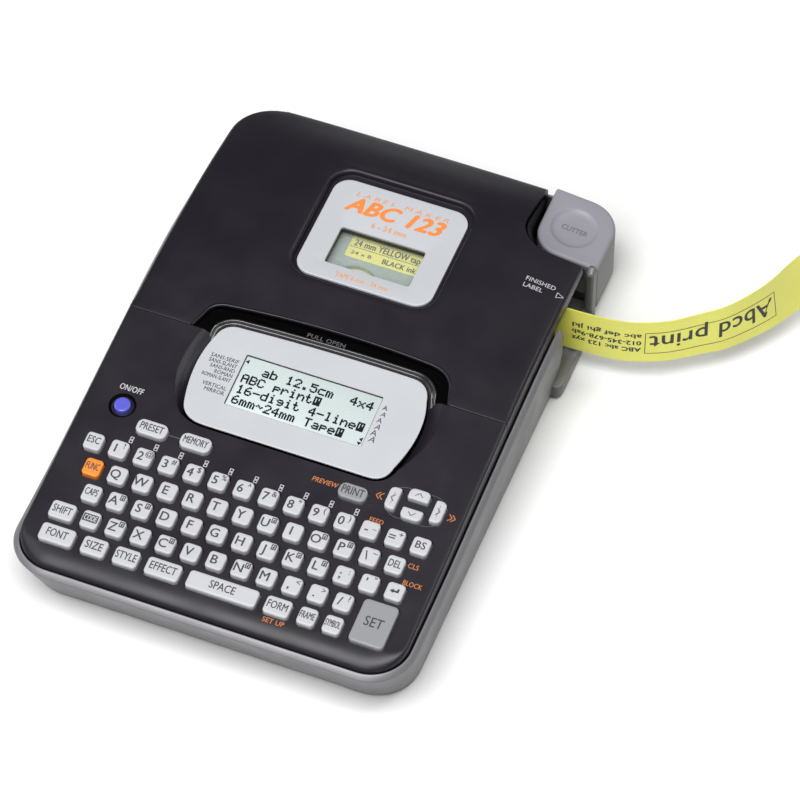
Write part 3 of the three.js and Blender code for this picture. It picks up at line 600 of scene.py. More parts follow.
def text_part(text, x, y, size, fit=None, bold=0.0, slant=0.0, turn=0.0, align="CENTER", z=0.0, thick=0.03):
    """Verts and faces of flat lettering, centred on (x, y), with capitals this many millimetres high.
    fit is how wide the whole word comes out, and bold how much its strokes are widened."""
    size = size * CAP_HEIGHT
    key = (text, size, slant, align, thick)
    if key not in _letters:
        curve = bpy.data.curves.new("letters", "FONT")
        curve.body = text
        curve.size = size
        curve.resolution_u = 3
        curve.shear = slant
        curve.space_character = 1.03
        curve.extrude = thick / 2
        curve.align_x = align
        curve.align_y = "CENTER"
        thing = bpy.data.objects.new("letters", curve)
        bpy.context.scene.collection.objects.link(thing)
        graph = bpy.context.evaluated_depsgraph_get()
        mesh = bpy.data.meshes.new_from_object(thing.evaluated_get(graph))
        weld(mesh, 0.0005)
        turn_outward(mesh)
        _letters[key] = ([tuple(v.co) for v in mesh.vertices], [tuple(p.vertices) for p in mesh.polygons])
        bpy.data.objects.remove(thing)
        bpy.data.curves.remove(curve)
        bpy.data.meshes.remove(mesh)
    verts, faces = _letters[key]
    c, s = math.cos(turn), math.sin(turn)
    spans = [v[0] for v in verts]
    wide = (fit - bold) / (max(spans) - min(spans)) if fit else 1
    copies = []
    shifts = [(0, 0)] if not bold else [(-bold / 2, 0), (bold / 2, 0), (0, bold / 3), (0, -bold / 3)]
    for k, (across, up) in enumerate(shifts):
        placed = [(v[0] * wide + across, v[1] - 0.041 * size + up, v[2] + 0.004 * k) for v in verts]
        copies.append(([(x + c * p[0] - s * p[1], y + s * p[0] + c * p[1], z + p[2]) for p in placed], faces))
    return merge_parts(copies)


def bar_part(x0, y0, x1, y1, width, z=0.0, thick=0.03):
    """A printed stroke between two points."""
    dx, dy = x1 - x0, y1 - y0
    length = math.hypot(dx, dy)
    nx, ny = -dy / length * width / 2, dx / length * width / 2
    outline = [(x0 - nx, y0 - ny), (x1 - nx, y1 - ny), (x1 + nx, y1 + ny), (x0 + nx, y0 + ny)]
    return loft([at_height(outline, z - thick / 2), at_height(outline, z + thick / 2)])


def frame_part(x0, x1, y0, y1, width, z=0.0):
    """A printed rectangle's outline."""
    h = width / 2
    return merge_parts([
        bar_part(x0 - h, y0, x1 + h, y0, width, z), bar_part(x0 - h, y1, x1 + h, y1, width, z),
        bar_part(x0, y0 + h, x0, y1 - h, width, z), bar_part(x1, y0 + h, x1, y1 - h, width, z),
    ])


def print_piece(name, parts, ink, body, slot, matrix):
    verts, faces = merge_parts(parts)
    return mesh_piece(name, verts, faces, ink, body, slot, matrix, smooth_faces=False)


# ---------- label tape ----------
TAPE = dict(y=62.6, bottom=10.5, width=24, t=0.4)
TAPE_ROUTE = [
    (0, 0), (34, 0), (62, 0), (77, 0.2), (88.5, 0.6), (99.7, 1.8), (108.5, 4.5), (117, 8.5),
    (127.5, 15.9), (135.6, 21.9), (148.7, 37.7), (156.5, 51.8), (162, 59.9),
]


def spline_points(points, per_span=16):
    """Centripetal Catmull-Rom line through plan points."""
    pts = [Vector(p) for p in points]
    pts = [2 * pts[0] - pts[1]] + pts + [2 * pts[-1] - pts[-2]]
    out = []
    for i in range(1, len(pts) - 2):
        p0, p1, p2, p3 = pts[i - 1:i + 3]
        t0 = 0
        t1 = t0 + (p1 - p0).length ** 0.5
        t2 = t1 + (p2 - p1).length ** 0.5
        t3 = t2 + (p3 - p2).length ** 0.5
        for k in range(per_span):
            t = t1 + (t2 - t1) * k / per_span
            a1 = p0 * (t1 - t) / (t1 - t0) + p1 * (t - t0) / (t1 - t0)
            a2 = p1 * (t2 - t) / (t2 - t1) + p2 * (t - t1) / (t2 - t1)
            a3 = p2 * (t3 - t) / (t3 - t2) + p3 * (t - t2) / (t3 - t2)
            b1 = a1 * (t2 - t) / (t2 - t0) + a2 * (t - t0) / (t2 - t0)
            b2 = a2 * (t3 - t) / (t3 - t1) + a3 * (t - t1) / (t3 - t1)
            out.append(b1 * (t2 - t) / (t2 - t1) + b2 * (t - t1) / (t2 - t1))
    out.append(pts[-2])
    return out


class TapePath:
    """The tape's plan curve by arc length, and the lean that grows towards its free end."""

    def __init__(self):
        self.points = [Vector((p.x, TAPE["y"] + p.y)) for p in spline_points(TAPE_ROUTE)]
        self.marks = [0]
        for a, b in zip(self.points, self.points[1:]):
            self.marks.append(self.marks[-1] + (b - a).length)
        self.length = self.marks[-1]

    def centre(self, s):
        s = min(max(s, 0), self.length)
        low, high = 0, len(self.marks) - 1
        while high - low > 1:
            mid = (low + high) // 2
            if self.marks[mid] <= s:
                low = mid
            else:
                high = mid
        t = (s - self.marks[low]) / (self.marks[high] - self.marks[low])
        return self.points[low].lerp(self.points[high], t)

    def place(self, s, height, side):
        """A point at arc length s, this high above the tape's lower edge, and this far to its rear."""
        tangent = (self.centre(s + 0.5) - self.centre(s - 0.5)).normalized()
        centre = self.centre(s)
        lean = 0.356 * max(0, (s / self.length - 0.522) / 0.478) ** 2
        out = side * math.cos(lean) + height * math.sin(lean)
        up = height * math.cos(lean) - side * math.sin(lean)
        return (centre.x - tangent.y * out, centre.y + tangent.x * out, TAPE["bottom"] + up)


def make_label_tape(m):
    path = TapePath()
    steps, across = 150, 6
    half = TAPE["t"] / 2
    rings = []
    for i in range(steps + 1):
        s = path.length * i / steps
        front = [path.place(s, TAPE["width"] * k / across, -half) for k in range(across + 1)]
        back = [path.place(s, TAPE["width"] * k / across, half) for k in range(across, -1, -1)]
        rings.append(front + back)
    verts, faces = loft([ring[::-1] for ring in rings])
    tape = mesh_piece("printed_tape", verts, faces, m["tape"], "case", "label_film", hides=["label_tape"], sharp=50)
    return path


def make_tape_print(m, path):
    """Generic sample print, upside down as it comes out: three small lines, then a framed large one."""
    rows = ["ABC abc 123 xyz", "012-345-678-9ab", "abc def ghi jkl"]
    small_start, small_end, big_start, big_end = 79.8, 107.3, 108.8, 165
    parts = []
    for k, words in enumerate(rows):
        parts.append(text_part(words, (small_start + small_end) / 2, 7.4 + 4.1 * k, 2.4, small_end - small_start,
                               0.25, turn=math.pi))
    parts.append(text_part("Abcd print", (big_start + big_end) / 2, 11.8, 8.0, big_end - big_start - 3, 0.3,
                           turn=math.pi))
    line = 0.3
    count = 24
    for height in (5.2, 17.6):
        for k in range(count):
            a = big_start + (big_end - big_start) * k / count
            b = big_start + (big_end - big_start) * (k + 1) / count
            parts.append(bar_part(a, height, b, height, line))
    parts.append(bar_part(big_start, 5.2, big_start, 17.6, line))
    parts.append(bar_part(big_end, 5.2, big_end, 17.6, line))
    verts, faces = merge_parts(parts)
    on_tape = [path.place(v[0], v[1], -TAPE["t"] / 2 - 0.03 - v[2]) for v in verts]
    mesh_piece("tape_print", on_tape, faces, m["black_ink"], "case", "label_film", smooth_faces=False)


# ---------- lower case ----------
def make_lower_case(m):
    half = HALF_W

    def wall(inset, z_of):
        ring = []
        for x, y in case_outline(inset):
            z = z_of(y)
            lean = max(0, 1 - z / TAPER_Z)
            back = smooth((20 - y) / (20 - FRONT - R_FRONT)) if y < 20 else 0
            ring.append((x * (1 - SIDE_TAPER * lean / half), y + FRONT_TAPER * lean * back, z))
        return ring

    rim = [(0, -0.6), (0.02, -0.25), (0.12, 0.02), (0.4, 0.32), (1.1, 0.88), (1.75, 1.36), (2.0, 1.48),
           (2.22, 1.48), (2.38, 1.32), (2.45, 0.7)]
    rings = [wall(1.1, lambda y: 0), wall(0.4, lambda y: 0.12), wall(0.08, lambda y: 0.5), wall(0, lambda y: 1.2)]
    rings += [wall(0, lambda y, h=h: h) for h in (6, 12, 18, TAPER_Z - 2)]
    rings += [wall(inset, lambda y, up=up: rim_z(y) + up) for inset, up in rim]
    rings += [wall(2.5, lambda y: rim_z(y) - 3), wall(2.5, lambda y: 20), wall(2.4, lambda y: 8), wall(2.4, lambda y: 2.5)]
    verts, faces = loft(rings)
    case = mesh_piece(
        "silver_case", verts, faces, m["silver"], "case", "silver_case", hides=["bottom_case"], sharp=38
    )
    o = OUTLET
    cut(case, tool_piece(*block(70, 95, o["front"], o["rear"] + 1, o["floor"], 60)), 38)
    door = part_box("battery_door")
    dx = (door[1].x - door[0].x) / MM / 2 + 0.3
    front, rear = door[0].y / MM, door[1].y / MM + 0.3
    cut(case, tool_piece(*block(-dx, dx, front + 12.1, rear, -1, 4)), 38)
    cut(case, tool_piece(*block(-dx, dx, FRONT - 5, rear, -1, 2.2)), 38)
    corner = loft([at_height(cutter_outline(0.4), 2.7), at_height(cutter_outline(0.4), 60)])
    cut(case, tool_piece(*corner), 38)
    strip = loft([at_height(cutter_outline(5), -1), at_height(cutter_outline(5), 61)])
    keep = loft([at_height(cutter_outline(-2.8), -2), at_height(cutter_outline(-2.8), 62)])
    ring_tool = tool_piece(*strip)
    cut(ring_tool, tool_piece(*keep), 38)
    corner_room = block(half - R_REAR_RIGHT, half + 9, REAR - R_REAR_RIGHT, REAR + 9, -3, 63)
    cut(ring_tool, tool_piece(*corner_room), 38, "INTERSECT")
    outer = tool_piece(*block(half - 2.8, half + 9, o["post"] + 0.4, REAR + 9, -1, 60))
    outer_rear = tool_piece(*block(CUTTER["left"] - 0.4, half + 9, REAR - 2.8, REAR + 9, -1, 60))
    for tool in (outer, outer_rear, ring_tool):
        cut(case, tool, 38)
    for part in outlet_parts():
        cut(case, tool_piece(*part), 38, "UNION")
    make_cutter_guide(m)


def make_cutter_guide(m):
    rings = [(-3.2, 2.6), (-3.2, 19.6), (-3.6, 20), (-4.8, 20), (-5.2, 19.6), (-5.2, 2.6)]
    verts, faces = loft([at_height(cutter_outline(a), z) for a, z in rings + rings[:1]], False, False)
    guide = mesh_piece("cutter_guide", verts, faces, m["silver"], "case", "silver_case")
    weld(guide.data)


def outlet_parts():
    """The proud ledge under the label outlet and the post behind it."""
    o = OUTLET
    out = HALF_W + LEDGE_PROUD
    plan = [(HALF_W - 3.2, o["ledge"] + 4), (HALF_W - 2.2, o["ledge"])]
    plan += quadratic((HALF_W - 1.2, o["ledge"]), (out, o["ledge"]), (out, o["ledge"] + 4), 10)
    plan += [(out, o["ledge"] + 4), (out, o["rear"]), (out - 0.6, o["rear"] + 1), (HALF_W - 3.2, o["rear"] + 1)]
    low = [(0.5, 0), (0.15, 0.15), (0, 0.5)]
    high = [(0, o["floor"] - 0.5), (0.15, o["floor"] - 0.15), (0.5, o["floor"])]
    ledge = loft([at_height(grown(plan, -inset), z) for inset, z in low + high])
    post = rounded(HALF_W - 3.4, HALF_W, o["rear"], o["post"], [1.2, 1.2, 0.3, 0.3], 6)
    rings = [at_height(post, 0)]
    for inset, drop in [(0, 1.8), (0.15, 1.0), (0.5, 0.4), (1.0, 0)]:
        rings.append([(x, y, POST_TOP - drop - 0.3 * (o["post"] - y)) for x, y in grown(post, -inset)])
    return ledge, loft(rings)


def make_battery_door(m):
    low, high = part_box("battery_door")
    x0, x1 = low.x / MM + LEDGE_PROUD / 2, high.x / MM + LEDGE_PROUD / 2
    y0, y1, top = low.y / MM, high.y / MM, (high.z - low.z) / MM
    outline = rounded(x0, x1, y0, y1, [0.6] * 4, 4)
    rings = [at_height(grown(outline, -a), z) for a, z in [(0.4, 0), (0.1, 0.1), (0, 0.4), (0, top - 0.2), (0.2, top)]]
    door = mesh_piece("sliding_door", *loft(rings), m["silver"], "battery_hatch", "silver_case", hides=["battery_door"])
    for k in range(5):
        y = y0 + 14 + 3.2 * k
        rib = centred(0, y, 26, 1.4, 0.65, 4)
        cut(door, tool_piece(*loft([at_height(rib, -1), at_height(rib, 0.5)])))


# ---------- fascia ----------
def key_facts():
    """Each key's centre and size in the keyboard plane, read from its solid in the frame."""
    facts = {}
    to_plane = TO_SLOPE.inverted()
    for name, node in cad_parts.items():
        if not name.startswith("key_") and not name.startswith("keys_"):
            continue
        points = [to_plane @ v.co for v in node.data.vertices]
        x0, x1 = min(p.x for p in points), max(p.x for p in points)
        y0, y1 = min(p.y for p in points), max(p.y for p in points)
        facts[name] = ((x0 + x1) / 2, (y0 + y1) / 2, x1 - x0, y1 - y0)
    return facts


ROW_WEB = 4  # the strip under a row runs this far past its first and last key's centres
KEY_W, KEY_D, KEY_R = 7.1, 7.5, 1.6
ROW_KEYS = dict(keys_number_row=13, keys_upper_row=11, keys_home_row=12, keys_lower_row=11)
PILLS = ("key_preset", "key_memory", "key_print")
CURSOR_CORNERS = dict(
    key_left=(2.2, 0.9, 0.9, 2.2), key_right=(0.9, 2.2, 2.2, 0.9), key_up=(0.9, 0.9, 2.2, 2.2),
    key_down=(2.2, 2.2, 0.9, 0.9),
)


def key_outlines(facts):
    """(key, x, y, outline function of how far it is grown), for every single cap."""
    caps = []
    for name, (x, y, w, d) in sorted(facts.items()):
        if name in ROW_KEYS:
            count = ROW_KEYS[name]
            first = x - w / 2 + ROW_WEB
            pitch = (w - 2 * ROW_WEB) / (count - 1)
            for k in range(count):
                caps.append((name, first + k * pitch, y, cap_outline(KEY_W, KEY_D, [KEY_R] * 4)))
            continue
        w -= 2 * KEY_FLANGE
        d -= 2 * KEY_FLANGE
        if name in PILLS:
            radii = [2.6] * 4
        elif name in CURSOR_CORNERS:
            radii = CURSOR_CORNERS[name]
        elif name == "key_power":
            radii = [min(w, d) / 2 - 0.01] * 4
        elif name == "key_set":
            radii = [2] * 4
        else:
            radii = [KEY_R] * 4
        caps.append((name, x, y, cap_outline(w, d, radii)))
    return caps


def cap_outline(w, d, radii, arc=6):
    def outline(x, y, grow):
        return rounded(x - w / 2 - grow, x + w / 2 + grow, y - d / 2 - grow, y + d / 2 + grow,
                       [max(r + grow, 0.2) for r in radii], arc)
    return outline


def make_fascia(m, caps):
    reach = 8.5

    def ring(t, rise, inset=0, height=None):
        """One ring round the fascia. t goes from the outer wall (0) to the flat top (1)."""
        points = []
        outline = rounded(-HALF_W + SKIN_INSET + inset, HALF_W - SKIN_INSET - inset, FRONT + SKIN_INSET + inset, 14,
                          [R_FRONT - SKIN_INSET - inset] * 2 + [0.5, 0.5], 16, 30)
        for (x, y), (ox, oy) in zip(outline, grown(outline, -1)):
            facing = smooth(((oy - y) - 0.15) / 0.8)
            width = 1.8 + (reach - 1.8) * facing
            drop = 0.9 + 2.4 * facing
            nx, ny = ox - x, oy - y
            px, py = x + nx * width * t, y + ny * width * t
            z = height(py) if height else plane_z(py) - drop * rise
            points.append((px, py, z))
        return points

    roll = [(0.0, 1.0), (0.015, 0.86), (0.06, 0.68), (0.14, 0.48), (0.26, 0.3), (0.42, 0.155), (0.62, 0.06),
            (0.82, 0.012), (1.0, 0.0)]
    rings = [
        ring(0, 0, SKIN + 6.4, lambda y: plane_z(y) - SKIN),
        ring(0, 0, SKIN + 0.3, lambda y: plane_z(y) - SKIN - 2.6),
        ring(0, 0, SKIN, lambda y: rim_z(y) - 0.8),
        ring(0, 0, 0, lambda y: rim_z(y) - 0.8),
    ]
    rings += [ring(t, rise) for t, rise in roll]
    verts, faces = loft(rings)
    fascia = mesh_piece(
        "keyboard_fascia", verts, faces, m["charcoal"], "case", "black_cover", hides=["top_case"], sharp=40
    )
    cut(fascia, tool_piece(*block(-95, 95, SPLIT_Y - 0.25, 40, 0, 80)), 40)
    cut(fascia, panel_well(), 40)
    wells = [loft([at_height(outline(x, y, KEY_HOLE), -7), at_height(outline(x, y, KEY_HOLE), 6)])
             for name, x, y, outline in caps]
    cut(fascia, tool_piece(*merge_parts(wells), TO_SLOPE), 40)
    ring_cut = loft([at_height(disc(x, y, 5.4), z) for name, x, y, o in caps if name == "key_power" for z in (-0.9, 3)])
    cut(fascia, tool_piece(*ring_cut, TO_SLOPE), 40)
    return fascia


def disc(x, y, r, n=40):
    return [(x + r * math.cos(2 * math.pi * k / n), y + r * math.sin(2 * math.pi * k / n)) for k in range(n)]


def well_reach(across):
    """How far the hollow round the display reaches at each point: narrow in front, wide beside it."""
    def amount(x, y, nx, ny):
        along = smooth((y + 46) / 26) if x < 0 else smooth((y + 42) / 30)
        side = smooth((abs(nx) - 0.3) / 0.6)
        return 0.4 + (0.7 + (4.9 if x < 0 else 4.7) * along * side) * across
    return amount


def panel_well():
    base = grown(panel_outline(), well_reach(1.0))
    return tool_piece(*loft([at_height(base, -10), at_height(base, 5)]), TO_SLOPE)


def make_panel_well(m):
    """The hollow that the display stands in."""
    profile = [(0, -3.0), (0.25, -2.35), (0.5, -1.35), (0.75, -0.5), (0.92, -0.1), (0.995, 0.02), (0.995, -1.6),
               (0.6, -3.2), (0, -4.2)]
    rings = [at_height(grown(panel_outline(), well_reach(across)), z) for across, z in profile]
    well = mesh_piece("display_well", *loft(rings + rings[:1], False, False), m["charcoal"], "case", "black_cover",
                      TO_SLOPE, sharp=50)
    weld(well.data)
    cut(well, tool_piece(*block(-95, 95, SPLIT_Y - 0.25, 40, 0, 80)), 50)


def make_keys(m, caps):
    paints = dict(key_print="grey_key", key_set="grey_key", key_func="orange_key", key_power="blue_key")
    slots = dict(key_print="grey_key", key_set="grey_key", key_func="orange_key", key_power="blue_key")
    profile = [(0, -2.6), (0, 0.4), (0.05, 1.25), (0.12, 1.5), (0.27, 1.7), (0.5, 1.83), (0.85, 1.895),
               (1.3, 1.9), (2.2, 1.87)]
    for name in sorted({c[0] for c in caps}):
        parts = []
        mine = [c for c in caps if c[0] == name]
        for _, x, y, outline in mine:
            rings = []
            for inset, z in profile:
                if name == "key_power":
                    z = z - 0.9
                rings.append(at_height(outline(x, y, -inset), z))
            flange = [at_height(outline(x, y, KEY_FLANGE - 0.02), -3.4), at_height(outline(x, y, KEY_FLANGE - 0.02), -2.6)]
            if name in ROW_KEYS:
                flange = []
                rings[0] = at_height(outline(x, y, 0), -2.6)
            parts.append(loft(flange + rings))
        if name in ROW_KEYS:
            xs = [c[1] for c in mine]
            y = mine[0][2]
            web = rounded(xs[0] - ROW_WEB, xs[-1] + ROW_WEB, y - 1.6, y + 1.6, [0.4] * 4, 3)
            parts.append(loft([at_height(web, -3.4), at_height(web, -2.55)]))
        verts, faces = merge_parts(parts)
        mesh_piece(name.replace("key", "cap", 1), verts, faces, m[paints.get(name, "key")], name + "_body",
                   slots.get(name, "white_key"), TO_SLOPE, [name], 50)


def make_power_ring(m, caps):
    """The black ring that the power key stands in."""
    x, y, outline = next(c[1:] for c in caps if c[0] == "key_power")
    profile = [(5.35, -0.89), (5.35, -0.8), (4.3, -0.84), (4.3, -0.89)]
    rings = [at_height(disc(x, y, r), z) for r, z in profile]
    ring = mesh_piece("power_ring", *loft(rings + rings[:1], False, False), m["scoop"], "case", "black_cover",
                      TO_SLOPE, sharp=30)
    weld(ring.data)


# ---------- legends ----------
NUMBER_ROW = ["ESC", "1!", "2@", "3#", "4$", "5%", "6^", "7&", "8*", "9(", "0)", "-_", "=+"]
UPPER_ROW = list("QWERTYUIOP") + ["\\~"]
HOME_ROW = ["CAPS"] + list("ASDFGHJKL") + [";:", "'\""]
LOWER_ROW = [""] + list("ZXCVBNM") + [",<", ".>", "/?"]
SINGLE_LEGENDS = dict(
    key_backspace=("BS", 4.0, 3.0), key_func=("FUNC", 5.4, 2.9), key_delete=("DEL", 5.0, 3.0),
    key_shift=("SHIFT", 7.6, 3.1), key_font=("FONT", 8.4, 3.2), key_size=("SIZE", 6.9, 3.2),
    key_style=("STYLE", 8.2, 3.2), key_effect=("EFFECT", 10.6, 3.2), key_space=("SPACE", 10.2, 3.2),
    key_form=("FORM", 8.0, 3.1), key_frame=("FRAME", 5.9, 2.8), key_symbol=("SYMBOL", 6.0, 2.8),
    key_set=("SET", 7.3, 4.0), key_preset=("PRESET", 9.4, 3.0), key_memory=("MEMORY", 9.8, 3.0),
    key_print=("PRINT", 8.8, 3.3),
)
BOXED = "ASZCNUOJKLP"


def legend_parts(text, x, y):
    top = KEY_RISE
    if len(text) > 2:
        return [text_part(text, x - 0.1, y + 0.5, 2.9, 5.1, 0.12, z=top)]
    if len(text) == 2:
        second = text_part(text[1], x + 1.85, y + 1.75, 2.2, bold=0.1, z=top)
        return [text_part(text[0], x - 1.2, y + 0.1, 3.5, bold=0.18, z=top), second]
    parts = [text_part(text, x - 0.8, y + 0.2, 3.6, bold=0.18, z=top)]
    if text in BOXED:
        parts[0] = text_part(text, x - 1.1, y + 0.2, 3.6, bold=0.18, z=top)
        left, right, low, high = x + 1.1, x + 2.7, y + 0.9, y + 2.8
        parts.append(frame_part(left, right, low, high, 0.42, top))
        parts.append(bar_part(left + 0.45, low + 0.55, right - 0.4, low + 0.55, 0.5, top))
        parts.append(bar_part(left + 0.6, low + 0.75, right - 0.45, high - 0.45, 0.5, top))
    return parts


def chevron(x, y, size, direction, width, z):
    """An open arrowhead pointing along direction, in radians."""
    c, s = math.cos(direction), math.sin(direction)
    tip = (x + c * size / 2, y + s * size / 2)
    ends = [(x - c * size / 2 - s * side * size, y - s * size / 2 + c * side * size) for side in (1, -1)]
    return merge_parts([bar_part(*tip, *end, width, z) for end in ends])


def make_legends(m, caps):
    rows = dict(keys_number_row=NUMBER_ROW, keys_upper_row=UPPER_ROW, keys_home_row=HOME_ROW, keys_lower_row=LOWER_ROW)
    for name in sorted({c[0] for c in caps}):
        parts = []
        mine = [c for c in caps if c[0] == name]
        for k, (_, x, y, outline) in enumerate(mine):
            if name in rows:
                parts += legend_parts(rows[name][k], x, y) if rows[name][k] else []
            elif name in SINGLE_LEGENDS:
                text, width, height = SINGLE_LEGENDS[name]
                parts.append(text_part(text, x - 0.1, y + 0.3, height, width, 0.12, z=KEY_RISE))
            elif name in ("key_left", "key_right", "key_up", "key_down"):
                turn = dict(key_left=math.pi, key_right=0, key_up=math.pi / 2, key_down=-math.pi / 2)[name]
                parts.append(chevron(x, y, 1.5, turn, 0.3, KEY_RISE))
            elif name == "key_enter":
                tip = [(x - 1.9, y), (x - 0.5, y - 1.0), (x - 0.5, y + 1.0)]
                parts += [bar_part(x + 1.2, y + 1.3, x + 1.2, y - 0.4, 0.8, KEY_RISE),
                          bar_part(x + 1.6, y, x - 0.8, y, 0.8, KEY_RISE),
                          loft([at_height(tip, KEY_RISE + side) for side in (-0.015, 0.015)])]
        if parts:
            slot = dict(key_print="grey_key", key_set="grey_key", key_func="orange_key").get(name, "white_key")
            print_piece(name.replace("key", "legend", 1), parts, m["grey_ink"], name + "_body", slot, TO_SLOPE)
    x, y = [(c[1], c[2]) for c in caps if c[0] == "keys_lower_row"][0]
    box = loft([at_height(centred(x - 0.1, y + 0.5, 5.9, 3.3, 0.3, 3), KEY_RISE + side) for side in (-0.02, 0.03)])
    print_piece("legend_code_box", [box], m["grey_ink"], "keys_lower_row_body", "white_key", TO_SLOPE)
    word = text_part("CODE", x - 0.1, y + 0.5, 2.3, 5.0, 0.1, z=KEY_RISE + 0.06)
    print_piece("legend_code_word", [word], m["key"], "keys_lower_row_body", "white_key", TO_SLOPE)


def make_fascia_print(m, caps):
    """Small printed marks between the keys."""
    place = {}
    for name, x, y, outline in caps:
        place.setdefault(name, []).append((x, y))
    number = place["keys_number_row"]
    top = 0.05
    white = []
    for x, y in number[1:11]:
        for up in (4.9, 6.35):
            white.append(frame_part(x + 1.9, x + 3.1, y + up, y + up + 1.05, 0.3, top))
    (wx, wy) = place["key_power"][0]
    white.append(text_part("ON/OFF", wx + 0.5, wy + 7.9, 2.5, 9.6, 0.1, z=top))
    print_piece("fascia_white_print", white, m["white_ink"], "case", "black_cover", TO_SLOPE)
    (px, py), (mx, my) = place["key_preset"][0], place["key_memory"][0]
    dim = [bar_part(px + 6.2, py + 0.4, mx - 6.2, my + 0.4, 0.3, top)] + cursor_surround(place, top)
    print_piece("fascia_dim_print", dim, m["dim_ink"], "case", "black_cover", TO_SLOPE)
    orange = []
    (qx, qy) = place["key_print"][0]
    orange.append(text_part("PREVIEW", qx - 11.9, qy + 1.3, 2.0, 10.4, 0.1, 0.12, z=top))
    feed = number[11]
    orange.append(text_part("FEED", feed[0] + 0.6, feed[1] + 5.2, 1.9, 5.5, 0.1, z=top))
    (dx, dy), (ex, ey) = place["key_delete"][0], place["key_enter"][0]
    orange.append(text_part("CLS", dx + 6.4, dy + 2.3, 2.0, 4.2, 0.1, z=top))
    orange.append(text_part("BLOCK", ex + 4.7, ey + 5.6, 2.0, 7.6, 0.1, z=top))
    (fx, fy) = place["key_form"][0]
    orange.append(text_part("SET UP", fx + 0.4, fy - 5.7, 2.0, 8.6, 0.1, z=top))
    (lx, ly), (rx, ry) = place["key_left"][0], place["key_right"][0]
    for k in (0, 1):
        orange.append(chevron(lx - 4.7 - 1.3 * k, ly, 1.5, math.pi, 0.4, top))
        orange.append(chevron(rx + 4.7 + 1.3 * k, ry, 1.5, 0, 0.4, top))
    print_piece("fascia_orange_print", orange, m["orange_ink"], "case", "black_cover", TO_SLOPE)


def cursor_surround(place, z):
    """The thin line that runs round the four cursor keys."""
    (lx, ly), (rx, ry) = place["key_left"][0], place["key_right"][0]
    (ux, uy), (dx, dy) = place["key_up"][0], place["key_down"][0]
    ring = rounded(lx - 2.2, rx + 2.2, dy - 2.4, uy + 2.4, [6] * 4, 8)
    return [bar_part(*ring[i - 1], *ring[i], 0.18, z) for i in range(len(ring))]


# ---------- tape cover ----------
COVER_HALF = HALF_W - SKIN_INSET
ARCH_STEPS = 24


def cover_z(x, y):
    height, fall = catmull(COVER_LINE, y)
    return height - fall * abs(x / COVER_HALF) ** 3


def cover_outline(inset, front=SPLIT_Y + 0.15):
    radii = [0.5, 0.5, max(R_REAR_RIGHT - SKIN_INSET - inset, 0.5), max(R_REAR_LEFT - SKIN_INSET - inset, 0.5)]
    return rounded(-COVER_HALF + inset, COVER_HALF - inset, front, REAR - SKIN_INSET - inset, radii, 12, ARCH_STEPS)


def recess_outline(grow):
    b = BADGE
    side, front, rear = 1.7 + grow, 1.6 + grow, 3.2 + grow
    return rounded(b["x"] - b["w"] / 2 - side, b["x"] + b["w"] / 2 + side, b["y"] - b["d"] / 2 - front,
                   b["y"] + b["d"] / 2 + rear, [b["r"] + side] * 4, 12, ARCH_STEPS)


def window_outline(grow):
    w = WINDOW
    return rounded(w["x"] - w["w"] / 2 - grow, w["x"] + w["w"] / 2 + grow, w["y"] - w["d"] / 2 - grow,
                   w["y"] + w["d"] / 2 + grow, [1] * 4, 12, ARCH_STEPS)


def blended(a, b, t):
    return [(p[0] + (q[0] - p[0]) * t, p[1] + (q[1] - p[1]) * t) for p, q in zip(a, b)]


def recess_lip(x, y):
    """The soft ridge that stands up behind the badge recess."""
    b = BADGE
    behind = y - (b["y"] + b["d"] / 2 + 4.4)
    across = smooth((b["w"] / 2 + 3 - abs(x - b["x"])) / 7)
    return 0.55 * math.exp(-(behind / 2.2) ** 2) * across


